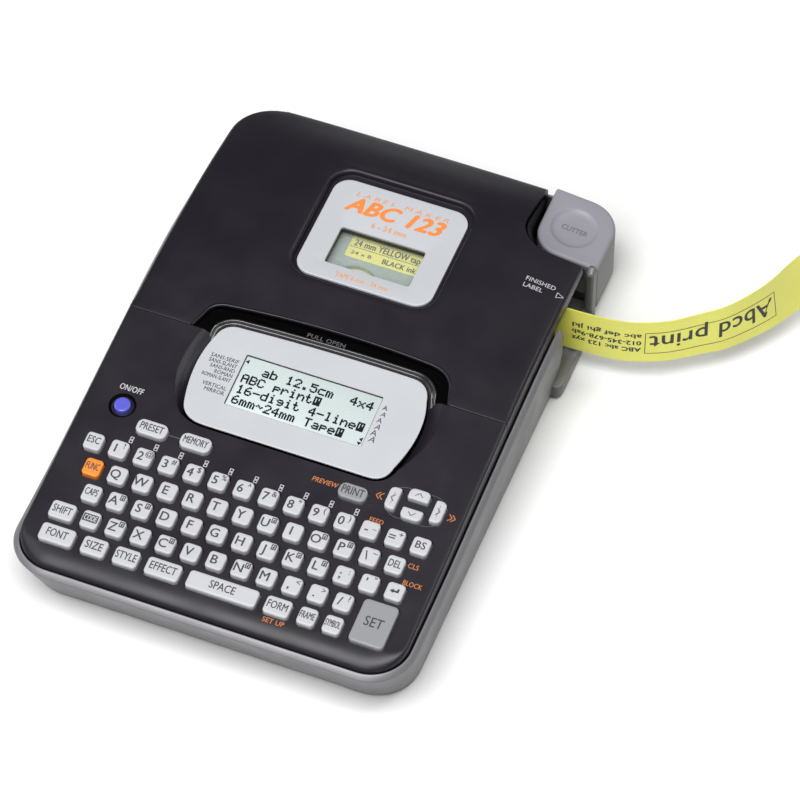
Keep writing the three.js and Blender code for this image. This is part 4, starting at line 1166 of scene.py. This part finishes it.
def make_cover(m):
    edge = 1.7

    def over(outline, drop=0.0):
        return [(x, y, cover_z(x, y) + recess_lip(x, y) - drop) for x, y in outline]

    def front_kept(inset):
        return cover_outline(inset)

    under = SKIN
    rings = [[(x, y, rim_z(y) - 0.6) for x, y in front_kept(0)]]
    rings.append([(x, y, cover_z(x, y) - (edge if y > 2 else 0.3)) for x, y in front_kept(0)])
    for angle in (18, 36, 54, 72, 90):
        a = math.radians(angle)
        inset, drop = edge * (1 - math.cos(a)), edge * (1 - math.sin(a))
        ring = []
        for (x, y), (ox, oy) in zip(front_kept(inset), front_kept(0)):
            soft = smooth((y - SPLIT_Y) / 6)
            ring.append((x, y if y > 0 else SPLIT_Y + 0.15 + 0.3 * (1 - math.cos(a)), 0))
            x, y, _ = ring[-1]
            ring[-1] = (x, y, cover_z(x, y) - drop * (0.14 + 0.86 * soft))
        rings.append(ring)
    flat = cover_outline(edge, SPLIT_Y + 0.45)
    recess = recess_outline(1.6)
    for t in (0.08, 0.18, 0.3, 0.42, 0.54, 0.66, 0.78, 0.88, 0.95):
        rings.append(over(blended(flat, recess, t)))
    for grow, drop in [(1.6, 0.02), (1.0, 0.16), (0.55, 0.42), (0.25, 0.8), (0.08, 1.25)]:
        rings.append(over(recess_outline(grow), drop))
    rings.append(at_height(recess_outline(0), BADGE_FLOOR + 0.35))
    rings.append(at_height(recess_outline(-0.3), BADGE_FLOOR))
    rings.append(at_height(window_outline(0.3), BADGE_FLOOR))
    rings.append(at_height(window_outline(0), BADGE_FLOOR - 0.3))
    rings.append(at_height(window_outline(0), BADGE_FLOOR - 2))
    rings.append(at_height(recess_outline(1.5), BADGE_FLOOR - 2))
    rings.append(over(recess_outline(3.6), under + 0.3))
    inner = cover_outline(under + 1.5, SPLIT_Y + under)
    outer_recess = recess_outline(3.6)
    for t in (0.25, 0.5, 0.75, 1):
        rings.append([(x, y, cover_z(x, y) - under) for x, y in blended(outer_recess, inner, t)])
    rings.append([(x, y, cover_z(x, y) - under - 1.2) for x, y in cover_outline(under, SPLIT_Y + under)])
    rings.append([(x, y, rim_z(y) - 0.6) for x, y in cover_outline(under, SPLIT_Y + under)])
    rings.append(rings[0])
    verts, faces = loft(rings, False, False)
    cover = mesh_piece(
        "tape_lid", verts, faces, m["charcoal"], "cover", "black_cover", hides=["tape_cover"], sharp=36
    )
    weld(cover.data)
    o = OUTLET
    cut(cover, tool_piece(*block(60, 95, o["front"] - 2, o["post"], 0, o["top"])), 36)
    c, room = CUTTER, 2.6
    notch = rounded(c["left"] - room, HALF_W + room, c["notch"], REAR + room, [c["r"] + room, 1, 1, 1], 14, 4)
    cut(cover, tool_piece(*loft([at_height(notch, 0), at_height(notch, 61)])), 36)
    arch = arch_outline(0)
    cut(cover, tool_piece(*loft([at_height(arch, 20), at_height(arch, 60)])), 36)
    base = grown(panel_outline(), PANEL_ROOM)
    cut(cover, tool_piece(*loft([at_height(base, -25), at_height(base, 12)]), TO_SLOPE), 36)
    make_finger_scoop(m)
    make_notch_wall(m)
    make_hinge_lugs(m)


def arch_outline(grow, front=-30, n=14):
    """The finger pull in plan: a low arch that flares towards the cover's front edge."""
    c = SCOOP
    left, right, flare = c["left"] - grow, c["right"] + grow, c["flare"]
    rear_left, rear_right = c["rear_left"] + grow, c["rear_right"] + grow
    low_right, low_left = (right - flare, rear_right - 6.4), (left + flare, rear_left - 6.6)
    top_right, top_left = (right - 12.4, rear_right), (left + 9.8, rear_left)
    middle = ((left + right) / 2, (rear_left + rear_right) / 2 + c["bow"])
    out = [(left, front)] + between((left, front), (right, front), n)
    out += [(right, front)] + between((right, front), (right, SPLIT_Y), 3)
    out += [(right, SPLIT_Y)] + between((right, SPLIT_Y), low_right, 3)
    out += quadratic(low_right, (right - 2 * flare, rear_right - 0.6), top_right, n)
    out += quadratic(top_right, middle, top_left, 3 * n)
    out += quadratic(top_left, (left + 3.5, rear_left - 0.8), low_left, n)
    out += [low_left] + between(low_left, (left, SPLIT_Y), 3)
    out += [(left, SPLIT_Y)] + between((left, SPLIT_Y), (left, front), 3)
    return out


def make_finger_scoop(m):
    """The black hollow that a finger reaches into to lift the cover, with a rounded rim."""
    floor = SCOOP["floor"]

    def arch(shrink):
        return arch_outline(-shrink, -16 + shrink)

    def on_cover(shrink, drop):
        return [(x, y, cover_z(x, y) + drop) for x, y in arch(shrink)]

    rim = [on_cover(a, z) for a, z in [(0.04, -2.6), (0.04, -0.24), (0.14, -0.08), (0.34, -0.02), (0.6, -0.1),
                                       (0.78, -0.3), (0.84, -0.7), (0.84, -2.6)]]
    bowl = [at_height(arch(2.2), floor - 1.6), on_cover(0.4, -3.0), on_cover(0.4, -0.9), on_cover(0.9, -0.9)]
    bowl += [at_height(arch(a), floor + z) for a, z in [(1.0, 0.25), (1.2, 0), (6.4, 0)]]
    base = grown(panel_outline(), PANEL_ROOM)
    for name, (verts, faces), finish in (
        ("pull_rim", loft(rim + rim[:1], False, False), "charcoal"), ("finger_scoop", loft(bowl), "scoop"),
    ):
        piece = mesh_piece(name, verts, faces, m[finish], "cover", "black_cover", sharp=40)
        weld(piece.data)
        cut(piece, tool_piece(*block(-90, 90, -40, SPLIT_Y + 0.3, 0, 80)), 40)
        cut(piece, tool_piece(*loft([at_height(base, -25), at_height(base, 12)]), TO_SLOPE), 40)
    word = text_part("PULL OPEN", -1.2, 10.7, 1.9, 15.5, 0.04, z=floor + 0.04)
    print_piece("scoop_print", [word], m["dim_ink"], "cover", "black_cover", TO_ROW)


def make_notch_wall(m):
    """A near-black wall that drops from the cover's notch to the cutter button: painted shade standing in for the dark
    inside of that gap.
    """
    c = CUTTER

    def line(room, front):
        left, r = c["left"] - room, c["r"] + room
        out = [(left, 110 - (110 - front - r) * k / 8) for k in range(8)]
        out += [(left + r - r * math.cos(a), front + r - r * math.sin(a)) for a in
                [math.pi / 2 * k / 14 for k in range(14)]]
        return out + [(left + r + (75.5 - left - r) * k / 8, front) for k in range(9)]

    low, low_in = line(1.0, c["front"] - 1.0), line(0.4, c["front"] - 0.4)
    high, high_in = line(2.2, c["notch"] + 0.4), line(1.6, c["notch"] + 1.0)
    sections = []
    for a, b, d, e in zip(low, low_in, high_in, high):
        sections.append([(*a, 26.6), (*b, 26.6), (*d, cover_z(*d) - 1.6), (*e, cover_z(*e) - 1.6)])
    mesh_piece("notch_shade_wall", *loft(sections), m["scoop"], "case", "black_cover", sharp=40)


def make_hinge_lugs(m):
    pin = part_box("hinge_pin")
    y, z = (pin[0].y + pin[1].y) / 2 / MM, (pin[0].z + pin[1].z) / 2 / MM - FOOT_H
    parts = []
    for x in (-58, 42):
        outline = [(y + 1.4, z + 1.9), (y - 2.2, z + 2.4)]
        outline += [(y - 2.2 * math.cos(a), z - 2.2 * math.sin(a)) for a in [math.pi * k / 12 for k in range(13)]]
        parts.append(across_part(outline, x - 3, x + 3))
    mesh_piece("hinge_lugs", *merge_parts(parts), m["charcoal"], "cover", "black_cover")


def across_part(side, x0, x1):
    """A side view in (y, z), anticlockwise seen from the right, run from x0 to x1."""
    n = len(side)
    verts = [(x0, y, z) for y, z in side] + [(x1, y, z) for y, z in side]
    faces = [tuple(reversed(range(n))), tuple(range(n, 2 * n))]
    faces += [(i, (i + 1) % n, n + (i + 1) % n, n + i) for i in range(n)]
    return verts, faces


# ---------- badge and window ----------
def make_badge(m):
    b, w = BADGE, WINDOW

    def plate(grow):
        return rounded(b["x"] - b["w"] / 2 - grow, b["x"] + b["w"] / 2 + grow, b["y"] - b["d"] / 2 - grow,
                       b["y"] + b["d"] / 2 + grow, [b["r"] + grow] * 4, 12, ARCH_STEPS)

    top = BADGE_FLOOR + 1.3
    rings = [at_height(window_outline(0), BADGE_FLOOR + 0.1), at_height(plate(-0.1), BADGE_FLOOR + 0.1)]
    rings += [at_height(plate(-a), z) for a, z in [(0, BADGE_FLOOR + 0.2), (0, top - 0.35), (0.1, top - 0.12),
                                                   (0.35, top), (0.9, top)]]
    rings += [at_height(window_outline(a), z) for a, z in [(0.45, top), (0.12, top - 0.08), (0, top - 0.3)]]
    rings.append(rings[0])
    badge = mesh_piece("badge", *loft(rings, False, False), m["panel"], "cover", "silver_panel",
                       hides=["badge_plate"], sharp=40)
    weld(badge.data)
    clear = [at_height(window_outline(a), z) for a, z in
             [(1.6, BADGE_FLOOR - 3.3), (1.6, BADGE_FLOOR - 2.4), (1.5, BADGE_FLOOR - 2.3)]]
    mesh_piece("window_pane", *loft(clear), m["window"], "cover", "clear_window", hides=["cover_window"], sharp=40)
    z = top + 0.02
    orange = [
        text_part("L A B E L   M A K E R", 2.9, 79.3, 1.9, 38.5, 0.1, 0.15, z=z),
        text_part("ABC 123", 1.6, 74.0, 6.9, 41, 0.95, 0.3, z=z),
        text_part("6 - 24 mm", 2.2, 66.7, 2.6, 14.5, 0.15, z=z),
        text_part("TAPE 6 mm - 24 mm", 1.6, 39.4, 2.0, 21.5, 0.12, z=z),
    ]
    print_piece("badge_print", orange[:1] + orange[2:], m["pale_orange_ink"], "cover", "silver_panel", TO_ROW)
    print_piece("badge_word", orange[1:2], m["bright_orange_ink"], "cover", "silver_panel", TO_ROW)
    words = [text_part("FINISHED", 66.0, 64.2, 2.0, 12.0, 0.05, z=0.02),
             text_part("LABEL", 63.9, 60.9, 2.0, 7.9, 0.05, z=0.02)]
    x, y, size = 74.7, 61.6, 1.3
    corners = [(x - size, y - size), (x + size * 1.2, y), (x - size, y + size)]
    words += [bar_part(*corners[k - 1], *corners[k], 0.26, 0.02) for k in range(3)]
    verts, faces = merge_parts(words)
    draped = [(v[0], v[1], cover_z(v[0], v[1]) + v[2]) for v in verts]
    mesh_piece("cover_print", draped, faces, m["white_ink"], "cover", "black_cover", smooth_faces=False)


# ---------- display ----------
GLYPHS = {
    "a": "..... ..... .###. ....# .#### #...# .####",
    "b": "#.... #.... ####. #...# #...# #...# ####.",
    "c": "..... ..... .#### #.... #.... #.... .####",
    "d": "....# ....# .#### #...# #...# #...# .####",
    "e": "..... ..... .###. #...# ##### #.... .###.",
    "g": "..... ..... .###. #...# .#### ....# .###.",
    "i": "..#.. ..... .##.. ..#.. ..#.. ..#.. .###.",
    "l": ".##.. ..#.. ..#.. ..#.. ..#.. ..#.. .###.",
    "m": "..... ..... ##.#. #.#.# #.#.# #.#.# #.#.#",
    "n": "..... ..... #.##. ##..# #...# #...# #...#",
    "p": "..... ..... ####. #...# ####. #.... #....",
    "r": "..... ..... #.##. ##..# #.... #.... #....",
    "t": ".#... .#... ###.. .#... .#... .#..# ..##.",
    "x": "..... ..... #...# .#.#. ..#.. .#.#. #...#",
    "A": ".###. #...# #...# ##### #...# #...# #...#",
    "B": "####. #...# #...# ####. #...# #...# ####.",
    "C": ".###. #...# #.... #.... #.... #...# .###.",
    "T": "##### ..#.. ..#.. ..#.. ..#.. ..#.. ..#..",
    "1": "..#.. .##.. ..#.. ..#.. ..#.. ..#.. .###.",
    "2": ".###. #...# ....# ...#. ..#.. .#... #####",
    "3": "##### ...#. ..#.. ...#. ....# #...# .###.",
    "4": "...#. ..##. .#.#. #..#. ##### ...#. ...#.",
    "5": "##### #.... ####. ....# ....# #...# .###.",
    "6": "..##. .#... #.... ####. #...# #...# .###.",
    "0": ".###. #...# #..## #.#.# ##..# #...# .###.",
    ".": "..... ..... ..... ..... ..... .##.. .##..",
    "-": "..... ..... ..... ##### ..... ..... .....",
    "~": "..... ..... .#... #.#.# ...#. ..... .....",
    "@": "##### #.#.# #.#.# #.### #.### ##### #####",
}
SCREEN_LINES = ["  ab 12.5cm  4x4", "ABC print@", "16-digit 4-line@", "6mm~24mm Tape@"]


SCREEN_TOP = -0.35


def make_display(m):
    base = panel_outline()
    hole = centred(LCD["x"], LCD["y"], LCD["w"], LCD["d"], 0.6, 3)
    rings = [at_height(grown(base, -a), z) for a, z in
             [(0.2, -0.32), (0, -0.28), (0, 0.1), (0.05, 0.27), (0.17, 0.37), (0.35, 0.4), (0.8, 0.4)]]
    bezel = mesh_piece("display_panel", *loft(rings), m["panel"], "case", "silver_panel", TO_SLOPE,
                       ["display_bezel"], 40)
    cut(bezel, tool_piece(*loft([at_height(hole, -5), at_height(hole, 5)]), TO_SLOPE), 40)
    # A near-black skirt under the panel's edge: painted shade for the shaded side of the proud panel.
    skirt = [at_height(grown(base, -a), z) for a, z in [(0.3, -3.8), (0.1, -3.6), (0.1, -0.36), (0.3, -0.34)]]
    shade_skirt = mesh_piece("display_shade_skirt", *loft(skirt), m["scoop"], "case", "black_cover", TO_SLOPE, sharp=40)
    opening = centred(LCD["x"], LCD["y"], LCD["w"] + 10, LCD["d"] + 8, 0.6, 3)
    cut(shade_skirt, tool_piece(*loft([at_height(opening, -5), at_height(opening, 5)]), TO_SLOPE), 40)
    # A near-black liner on the window's walls: painted shade for the shadow in the recess round the screen.
    inner = centred(LCD["x"], LCD["y"], LCD["w"] - 0.4, LCD["d"] - 0.4, 0.4, 3)
    liner = [at_height(inner, -1.55), at_height(grown(hole, -0.02), -1.55), at_height(grown(hole, -0.02), 0.2),
             at_height(inner, 0.15), at_height(inner, -1.55)]
    window_wall_shade = mesh_piece("screen_shade_liner", *loft(liner, False, False), m["window_wall_shade"], "case", "silver_panel", TO_SLOPE)
    weld(window_wall_shade.data)
    body = centred(LCD["x"], LCD["y"], LCD["w"] + 9, LCD["d"] + 7, 0.6, 3)
    glass = grown(inner, -0.03)
    rings = [at_height(body, -5), at_height(body, -2.0), at_height(glass, -2.0), at_height(glass, -0.45),
             at_height(grown(glass, -0.12), SCREEN_TOP)]
    mesh_piece("screen", *loft(rings), m["lcd"], "case", "lcd_glass", TO_SLOPE, ["lcd_module"], 40)
    make_screen_text(m)
    make_panel_print(m)
    make_surround(m, base)
    make_panel_well(m)


def make_screen_text(m):
    pitch = 0.545
    ink = (SCREEN_TOP - 0.01, SCREEN_TOP + 0.03)
    dots = []
    left = LCD["x"] - LCD["w"] / 2 + 2.2
    top = LCD["y"] + LCD["d"] / 2 - 3.4
    for row, words in enumerate(SCREEN_LINES):
        for column, letter in enumerate(words):
            if letter == " ":
                continue
            for r, line in enumerate(GLYPHS[letter].split()):
                for c, mark in enumerate(line):
                    if mark == "#":
                        x = left + (column * 6 + c) * pitch
                        y = top - (row * 9 + r) * pitch
                        h = pitch * 0.68
                        dots.append(block(x - h, x + h, y - h, y + h, *ink))
    mark = pitch * 1.25
    for x, y in [(LCD["x"] - LCD["w"] / 2 + 1.2, LCD["y"] + LCD["d"] / 2 - 2.6),
                 (LCD["x"] + LCD["w"] / 2 - 1.6, LCD["y"] - LCD["d"] / 2 + 3.6)]:
        dots.append(loft([at_height([(x - mark, y), (x + mark, y - 1.5 * mark), (x + mark, y + 1.5 * mark)], z)
                          for z in ink]))
    x, y = LCD["x"] + LCD["w"] / 2 - 1.6, LCD["y"] - LCD["d"] / 2 + 1.6
    dots.append(loft([at_height([(x - 1.5 * mark, y + mark), (x, y - mark), (x + 1.5 * mark, y + mark)], z)
                      for z in ink]))
    print_piece("screen_text", dots, m["lcd_ink"], "case", "lcd_glass", TO_SLOPE)


def make_panel_print(m):
    z = PANEL_TOP + 0.02
    left = LCD["x"] - LCD["w"] / 2 - 1.5
    words = [("SANS-SERIF", 11.4, 0), ("SANS-SLANT", 11.4, 2.2), ("SANS-RND", 10.0, 4.4), ("ROMAN", 7.4, 6.6),
             ("ROMAN-SLANT", 11.6, 8.8), ("VERTICAL", 9.8, 12.6), ("MIRROR", 8.2, 14.9)]
    parts = [text_part(word, left - width / 2, LCD["y"] + 7.2 - step, 1.65, width, 0.06, z=z)
             for word, width, step in words]
    right = LCD["x"] + LCD["w"] / 2 + 2.3
    for k in range(6):
        parts.append(text_part("A", right + 0.25 * (k % 2), LCD["y"] + 7.4 - 2.9 * k, 1.9 + 0.14 * k,
                               bold=0.12 if k == 0 else 0.02, slant=0.2 * (k % 2), z=z))
    print_piece("panel_print", parts, m["grey_ink"], "case", "silver_panel", TO_SLOPE)


def make_surround(m, base):
    """The shiny rim that stands behind the panel and dives into the gap beside it."""
    def reach(across):
        def amount(x, y, nx, ny):
            return 0.35 + (1.25 + 1.9 * smooth((ny + 0.1) / 0.5)) * across
        return amount

    def height(z):
        def at(x, y):
            up = smooth((y + 6) / 7)
            return -3.1 + (z + 3.1) * up
        return at

    profile = [(0.0, -1.6), (0.0, -0.6), (0.05, -0.3), (0.16, -0.1), (0.24, 0.2), (0.32, 0.36), (0.44, 0.42),
               (0.54, 0.34), (0.59, 0.1), (0.64, 0.08), (0.68, 0.3), (0.76, 0.52), (0.88, 0.56), (0.96, 0.42),
               (1.0, 0.1), (1.0, -1.6)]
    rings = []
    for across, z in profile:
        outline = grown(base, reach(across))
        rings.append([(x, y, -3.9 if z == -1.6 else height(z)(x, y)) for x, y in outline])
    rings = rings[::-1]
    rings.append(rings[0])
    surround = mesh_piece("display_surround", *loft([r for r in rings], False, False), m["gloss_grey"], "case",
                          "black_cover", TO_SLOPE, sharp=50)
    weld(surround.data)


# ---------- cutter ----------
def make_cutter_cap(m):
    c = CUTTER
    cx, cy, r = 65.2, 104.0, 9.6

    def top(x, y):
        return c["top_right"] + c["slope"] * (HALF_W + 1 - x)

    def circle(radius, drop):
        ring = []
        for x, y in cutter_outline(-2.2):
            a = math.atan2(y - cy, x - cx)
            px, py = cx + radius * math.cos(a), cy + radius * math.sin(a)
            ring.append((px, py, top(px, py) - drop))
        return ring

    rings = [at_height(cutter_outline(-2), 26), at_height(cutter_outline(-2), c["bottom"] + 0.2),
             at_height(cutter_outline(-1.8), c["bottom"]), at_height(cutter_outline(-0.3), c["bottom"]),
             at_height(cutter_outline(0), c["bottom"] + 0.3)]
    for inset, drop in [(0, 1.5), (0.11, 0.93), (0.44, 0.44), (0.93, 0.11), (1.5, 0)]:
        rings.append([(x, y, top(x, y) - drop) for x, y in cutter_outline(-inset)])
    rings.append([(x, y, top(x, y)) for x, y in cutter_outline(-2.2)])
    rings += [circle(radius, drop) for radius, drop in
              [(r + 0.3, 0), (r, 0.04), (r - 0.35, 0.22), (r - 0.8, 0.55), (r - 1.5, 0.9), (r - 2.6, 1.15),
               (r - 4.5, 1.3), (1.5, 1.4)]]
    cap = mesh_piece("cutter_cap", *loft(rings), m["cutter"], "cutter", "grey_cap", hides=["cutter_button"], sharp=36)
    room = block(c["left"] - 1, HALF_W - 2.2, c["front"] - 1, REAR - 2.2, c["bottom"] - 1, 12)
    cut(cap, tool_piece(*room), 36)
    # The raised word is darker than the cap: painted shade for engraved lettering.
    verts, faces = text_part("CUTTER", cx, cy, 2.3, 10.5, 0.15, 0.1, thick=0.16)
    placed = []
    for x, y, z in verts:
        radius = math.hypot(x - cx, y - cy)
        dip = 1.38 - 0.08 * (radius / 4.5) ** 2
        placed.append((x, y, top(x, y) - dip + z))
    mesh_piece("cutter_word", placed, faces, m["cutter_word_shade"], "cutter", "grey_cap", smooth_faces=False)


# ---------- inside ----------
def make_cartridge(m):
    low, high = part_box("cartridge_case")
    x0, x1 = low.x / MM + LEDGE_PROUD / 2, high.x / MM + LEDGE_PROUD / 2
    y0, y1 = low.y / MM, high.y / MM
    z0, z1 = low.z / MM - FOOT_H, high.z / MM - FOOT_H
    outline = rounded(x0, x1, y0, y1, [3, 3, 1.5, 1.5], 6)
    rings = [at_height(grown(outline, -a), z) for a, z in
             [(1.4, z1 - 1.4), (1.4, z0), (0.3, z0), (0, z0 + 0.3), (0, z1 - 0.9), (0.1, z1 - 0.5), (0.4, z1 - 0.12),
              (0.9, z1)]]
    shell = mesh_piece("cartridge_shell", *loft(rings), m["smoke"], "case", "clear_shell", hides=["cartridge_case"],
                       sharp=40)
    spool, ribbon = spool_centre("tape_spool"), spool_centre("ribbon_spool")
    for (x, y), r in ((spool, 9.6), (ribbon, 5.4)):
        hole = disc(x, y, r, 48)
        cut(shell, tool_piece(*loft([at_height(hole, z1 - 3), at_height(hole, z1 + 3)])), 40)
    cut(shell, tool_piece(*block(x1 - 3, x1 + 3, TAPE["y"] - 1.2, TAPE["y"] + 1.2, z0 - 1, z1 - 1.4)), 40)
    ribs = [loft([at_height(centred(x0 + 8 + 3 * k, y1 - 8, 1.2, 9, 0.5, 4), z1 - 0.05),
                  at_height(centred(x0 + 8 + 3 * k, y1 - 8, 1.0, 8.8, 0.5, 4), z1 + 0.35)]) for k in range(5)]
    mesh_piece("cartridge_ribs", *merge_parts(ribs), m["smoke"], "case", "clear_shell")
    label = rounded(-11.5, 21, 53.8, 65, [0.8] * 4, 4)
    mesh_piece("cartridge_label", *loft([at_height(label, z1 + 0.02), at_height(label, z1 + 0.1)]), m["sticker"],
               "case", "clear_shell")
    z = z1 + 0.13
    words = [
        text_part("24 mm YELLOW tape", 4.6, 61.3, 3.0, 29, 0.2, z=z), bar_part(-11, 59.0, 20.5, 59.0, 0.25, z),
        text_part("BLACK ink", 10.4, 56.2, 2.4, 14, 0.2, z=z),
        text_part("24 x 8", -5.4, 56.4, 1.6, 8.5, 0.12, z=z),
    ]
    print_piece("cartridge_print", words, m["black_ink"], "case", "clear_shell", TO_ROW)


def spool_centre(node):
    low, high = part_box(node)
    return (low.x + high.x) / 2 / MM + LEDGE_PROUD / 2, (low.y + high.y) / 2 / MM


def make_spool(m, node, name, body, slot, hub, flange, finish):
    """A roll between two flanges on a hub with driving splines."""
    low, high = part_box(node)
    z0, z1 = low.z / MM - FOOT_H, high.z / MM - FOOT_H
    x, y = spool_centre(node)
    r = (high.x - low.x) / MM / 2
    profile = [(hub, z1), (hub, z0), (flange, z0), (flange, z0 + 0.7), (r - 0.3, z0 + 0.8), (r, z0 + 1.1),
               (r, z1 - 1.1), (r - 0.3, z1 - 0.8), (flange, z1 - 0.7), (flange, z1 - 0.2), (flange - 0.3, z1)]
    rings = [at_height(disc(x, y, radius, 64), z) for radius, z in profile]
    rings.append(rings[0])
    piece = mesh_piece(name, *loft(rings, False, False), [m[finish], m["gear"]], body, slot, hides=[node], sharp=40)
    for face in piece.data.polygons:
        centre = face.center
        radius = math.hypot(centre.x / MM + LEDGE_PROUD / 2 - x, centre.y / MM - y)
        if radius < flange + 0.2:
            face.material_index = 1
    weld(piece.data)
    splines = []
    for k in range(6):
        a = 2 * math.pi * k / 6
        c, s = math.cos(a), math.sin(a)
        depth, half = hub * 0.34, hub * 0.11
        outline = [(x + c * u - s * v, y + s * u + c * v) for u, v in
                   [(hub - depth, -half), (hub + 0.4, -half * 1.6), (hub + 0.4, half * 1.6), (hub - depth, half)]]
        splines.append(loft([at_height(outline, z0 + 1), at_height(outline, z1 - 0.6)]))
    mesh_piece(name + "_splines", *merge_parts(splines), m["gear"], body, slot, sharp=40)


def make_feet(m):
    for k in range(1, 5):
        node = f"foot_{k}"
        low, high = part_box(node)
        x, y = (low.x + high.x) / 2 / MM, (low.y + high.y) / 2 / MM
        r = (high.x - low.x) / MM / 2
        top = high.z / MM
        rings = [at_height(disc(x, y, radius, 48), z) for radius, z in
                 [(r - 2.6, 0.25), (r - 2.2, 0.02), (r - 0.9, 0), (r - 0.35, 0.12), (r - 0.05, 0.5), (r, top)]]
        mesh_piece(f"rubber_foot_{k}", *loft(rings), m["rubber"], "case", "rubber_black", Matrix.Scale(MM, 4), [node], 50)


def finish_carried(m):
    """Better materials for the CAD solids whose shape stays."""
    finishes = dict(
        inner_frame="inner", hinge_pin="steel", keypad_mat="rubber", main_board="board", print_head="steel",
        motor="steel", cutter_blade="steel", platen_roller="rubber", idler_gear="gear", motor_pinion="gear",
    )
    for k in range(1, 7):
        finishes[f"battery_{k}"] = "cell"
    for node, finish in finishes.items():
        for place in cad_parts[node].material_slots:
            place.material = m[finish]


# ---------- everything ----------
make_camera()
make_studio()
materials = make_materials()
route = make_label_tape(materials)
make_tape_print(materials, route)
make_lower_case(materials)
make_battery_door(materials)
facts = key_facts()
caps = key_outlines(facts)
make_fascia(materials, caps)
make_keys(materials, caps)
make_power_ring(materials, caps)
make_legends(materials, caps)
make_fascia_print(materials, caps)
make_cover(materials)
make_badge(materials)
make_display(materials)
make_cutter_cap(materials)
make_cartridge(materials)
make_spool(materials, "tape_spool", "tape_reel_roll", "tape_reel", "tape_roll", 5.5, 9, "roll")
make_spool(materials, "ribbon_spool", "ribbon_reel_roll", "ribbon_reel", "inner_plastic", 3, 5, "inner")
make_feet(materials)
finish_carried(materials)
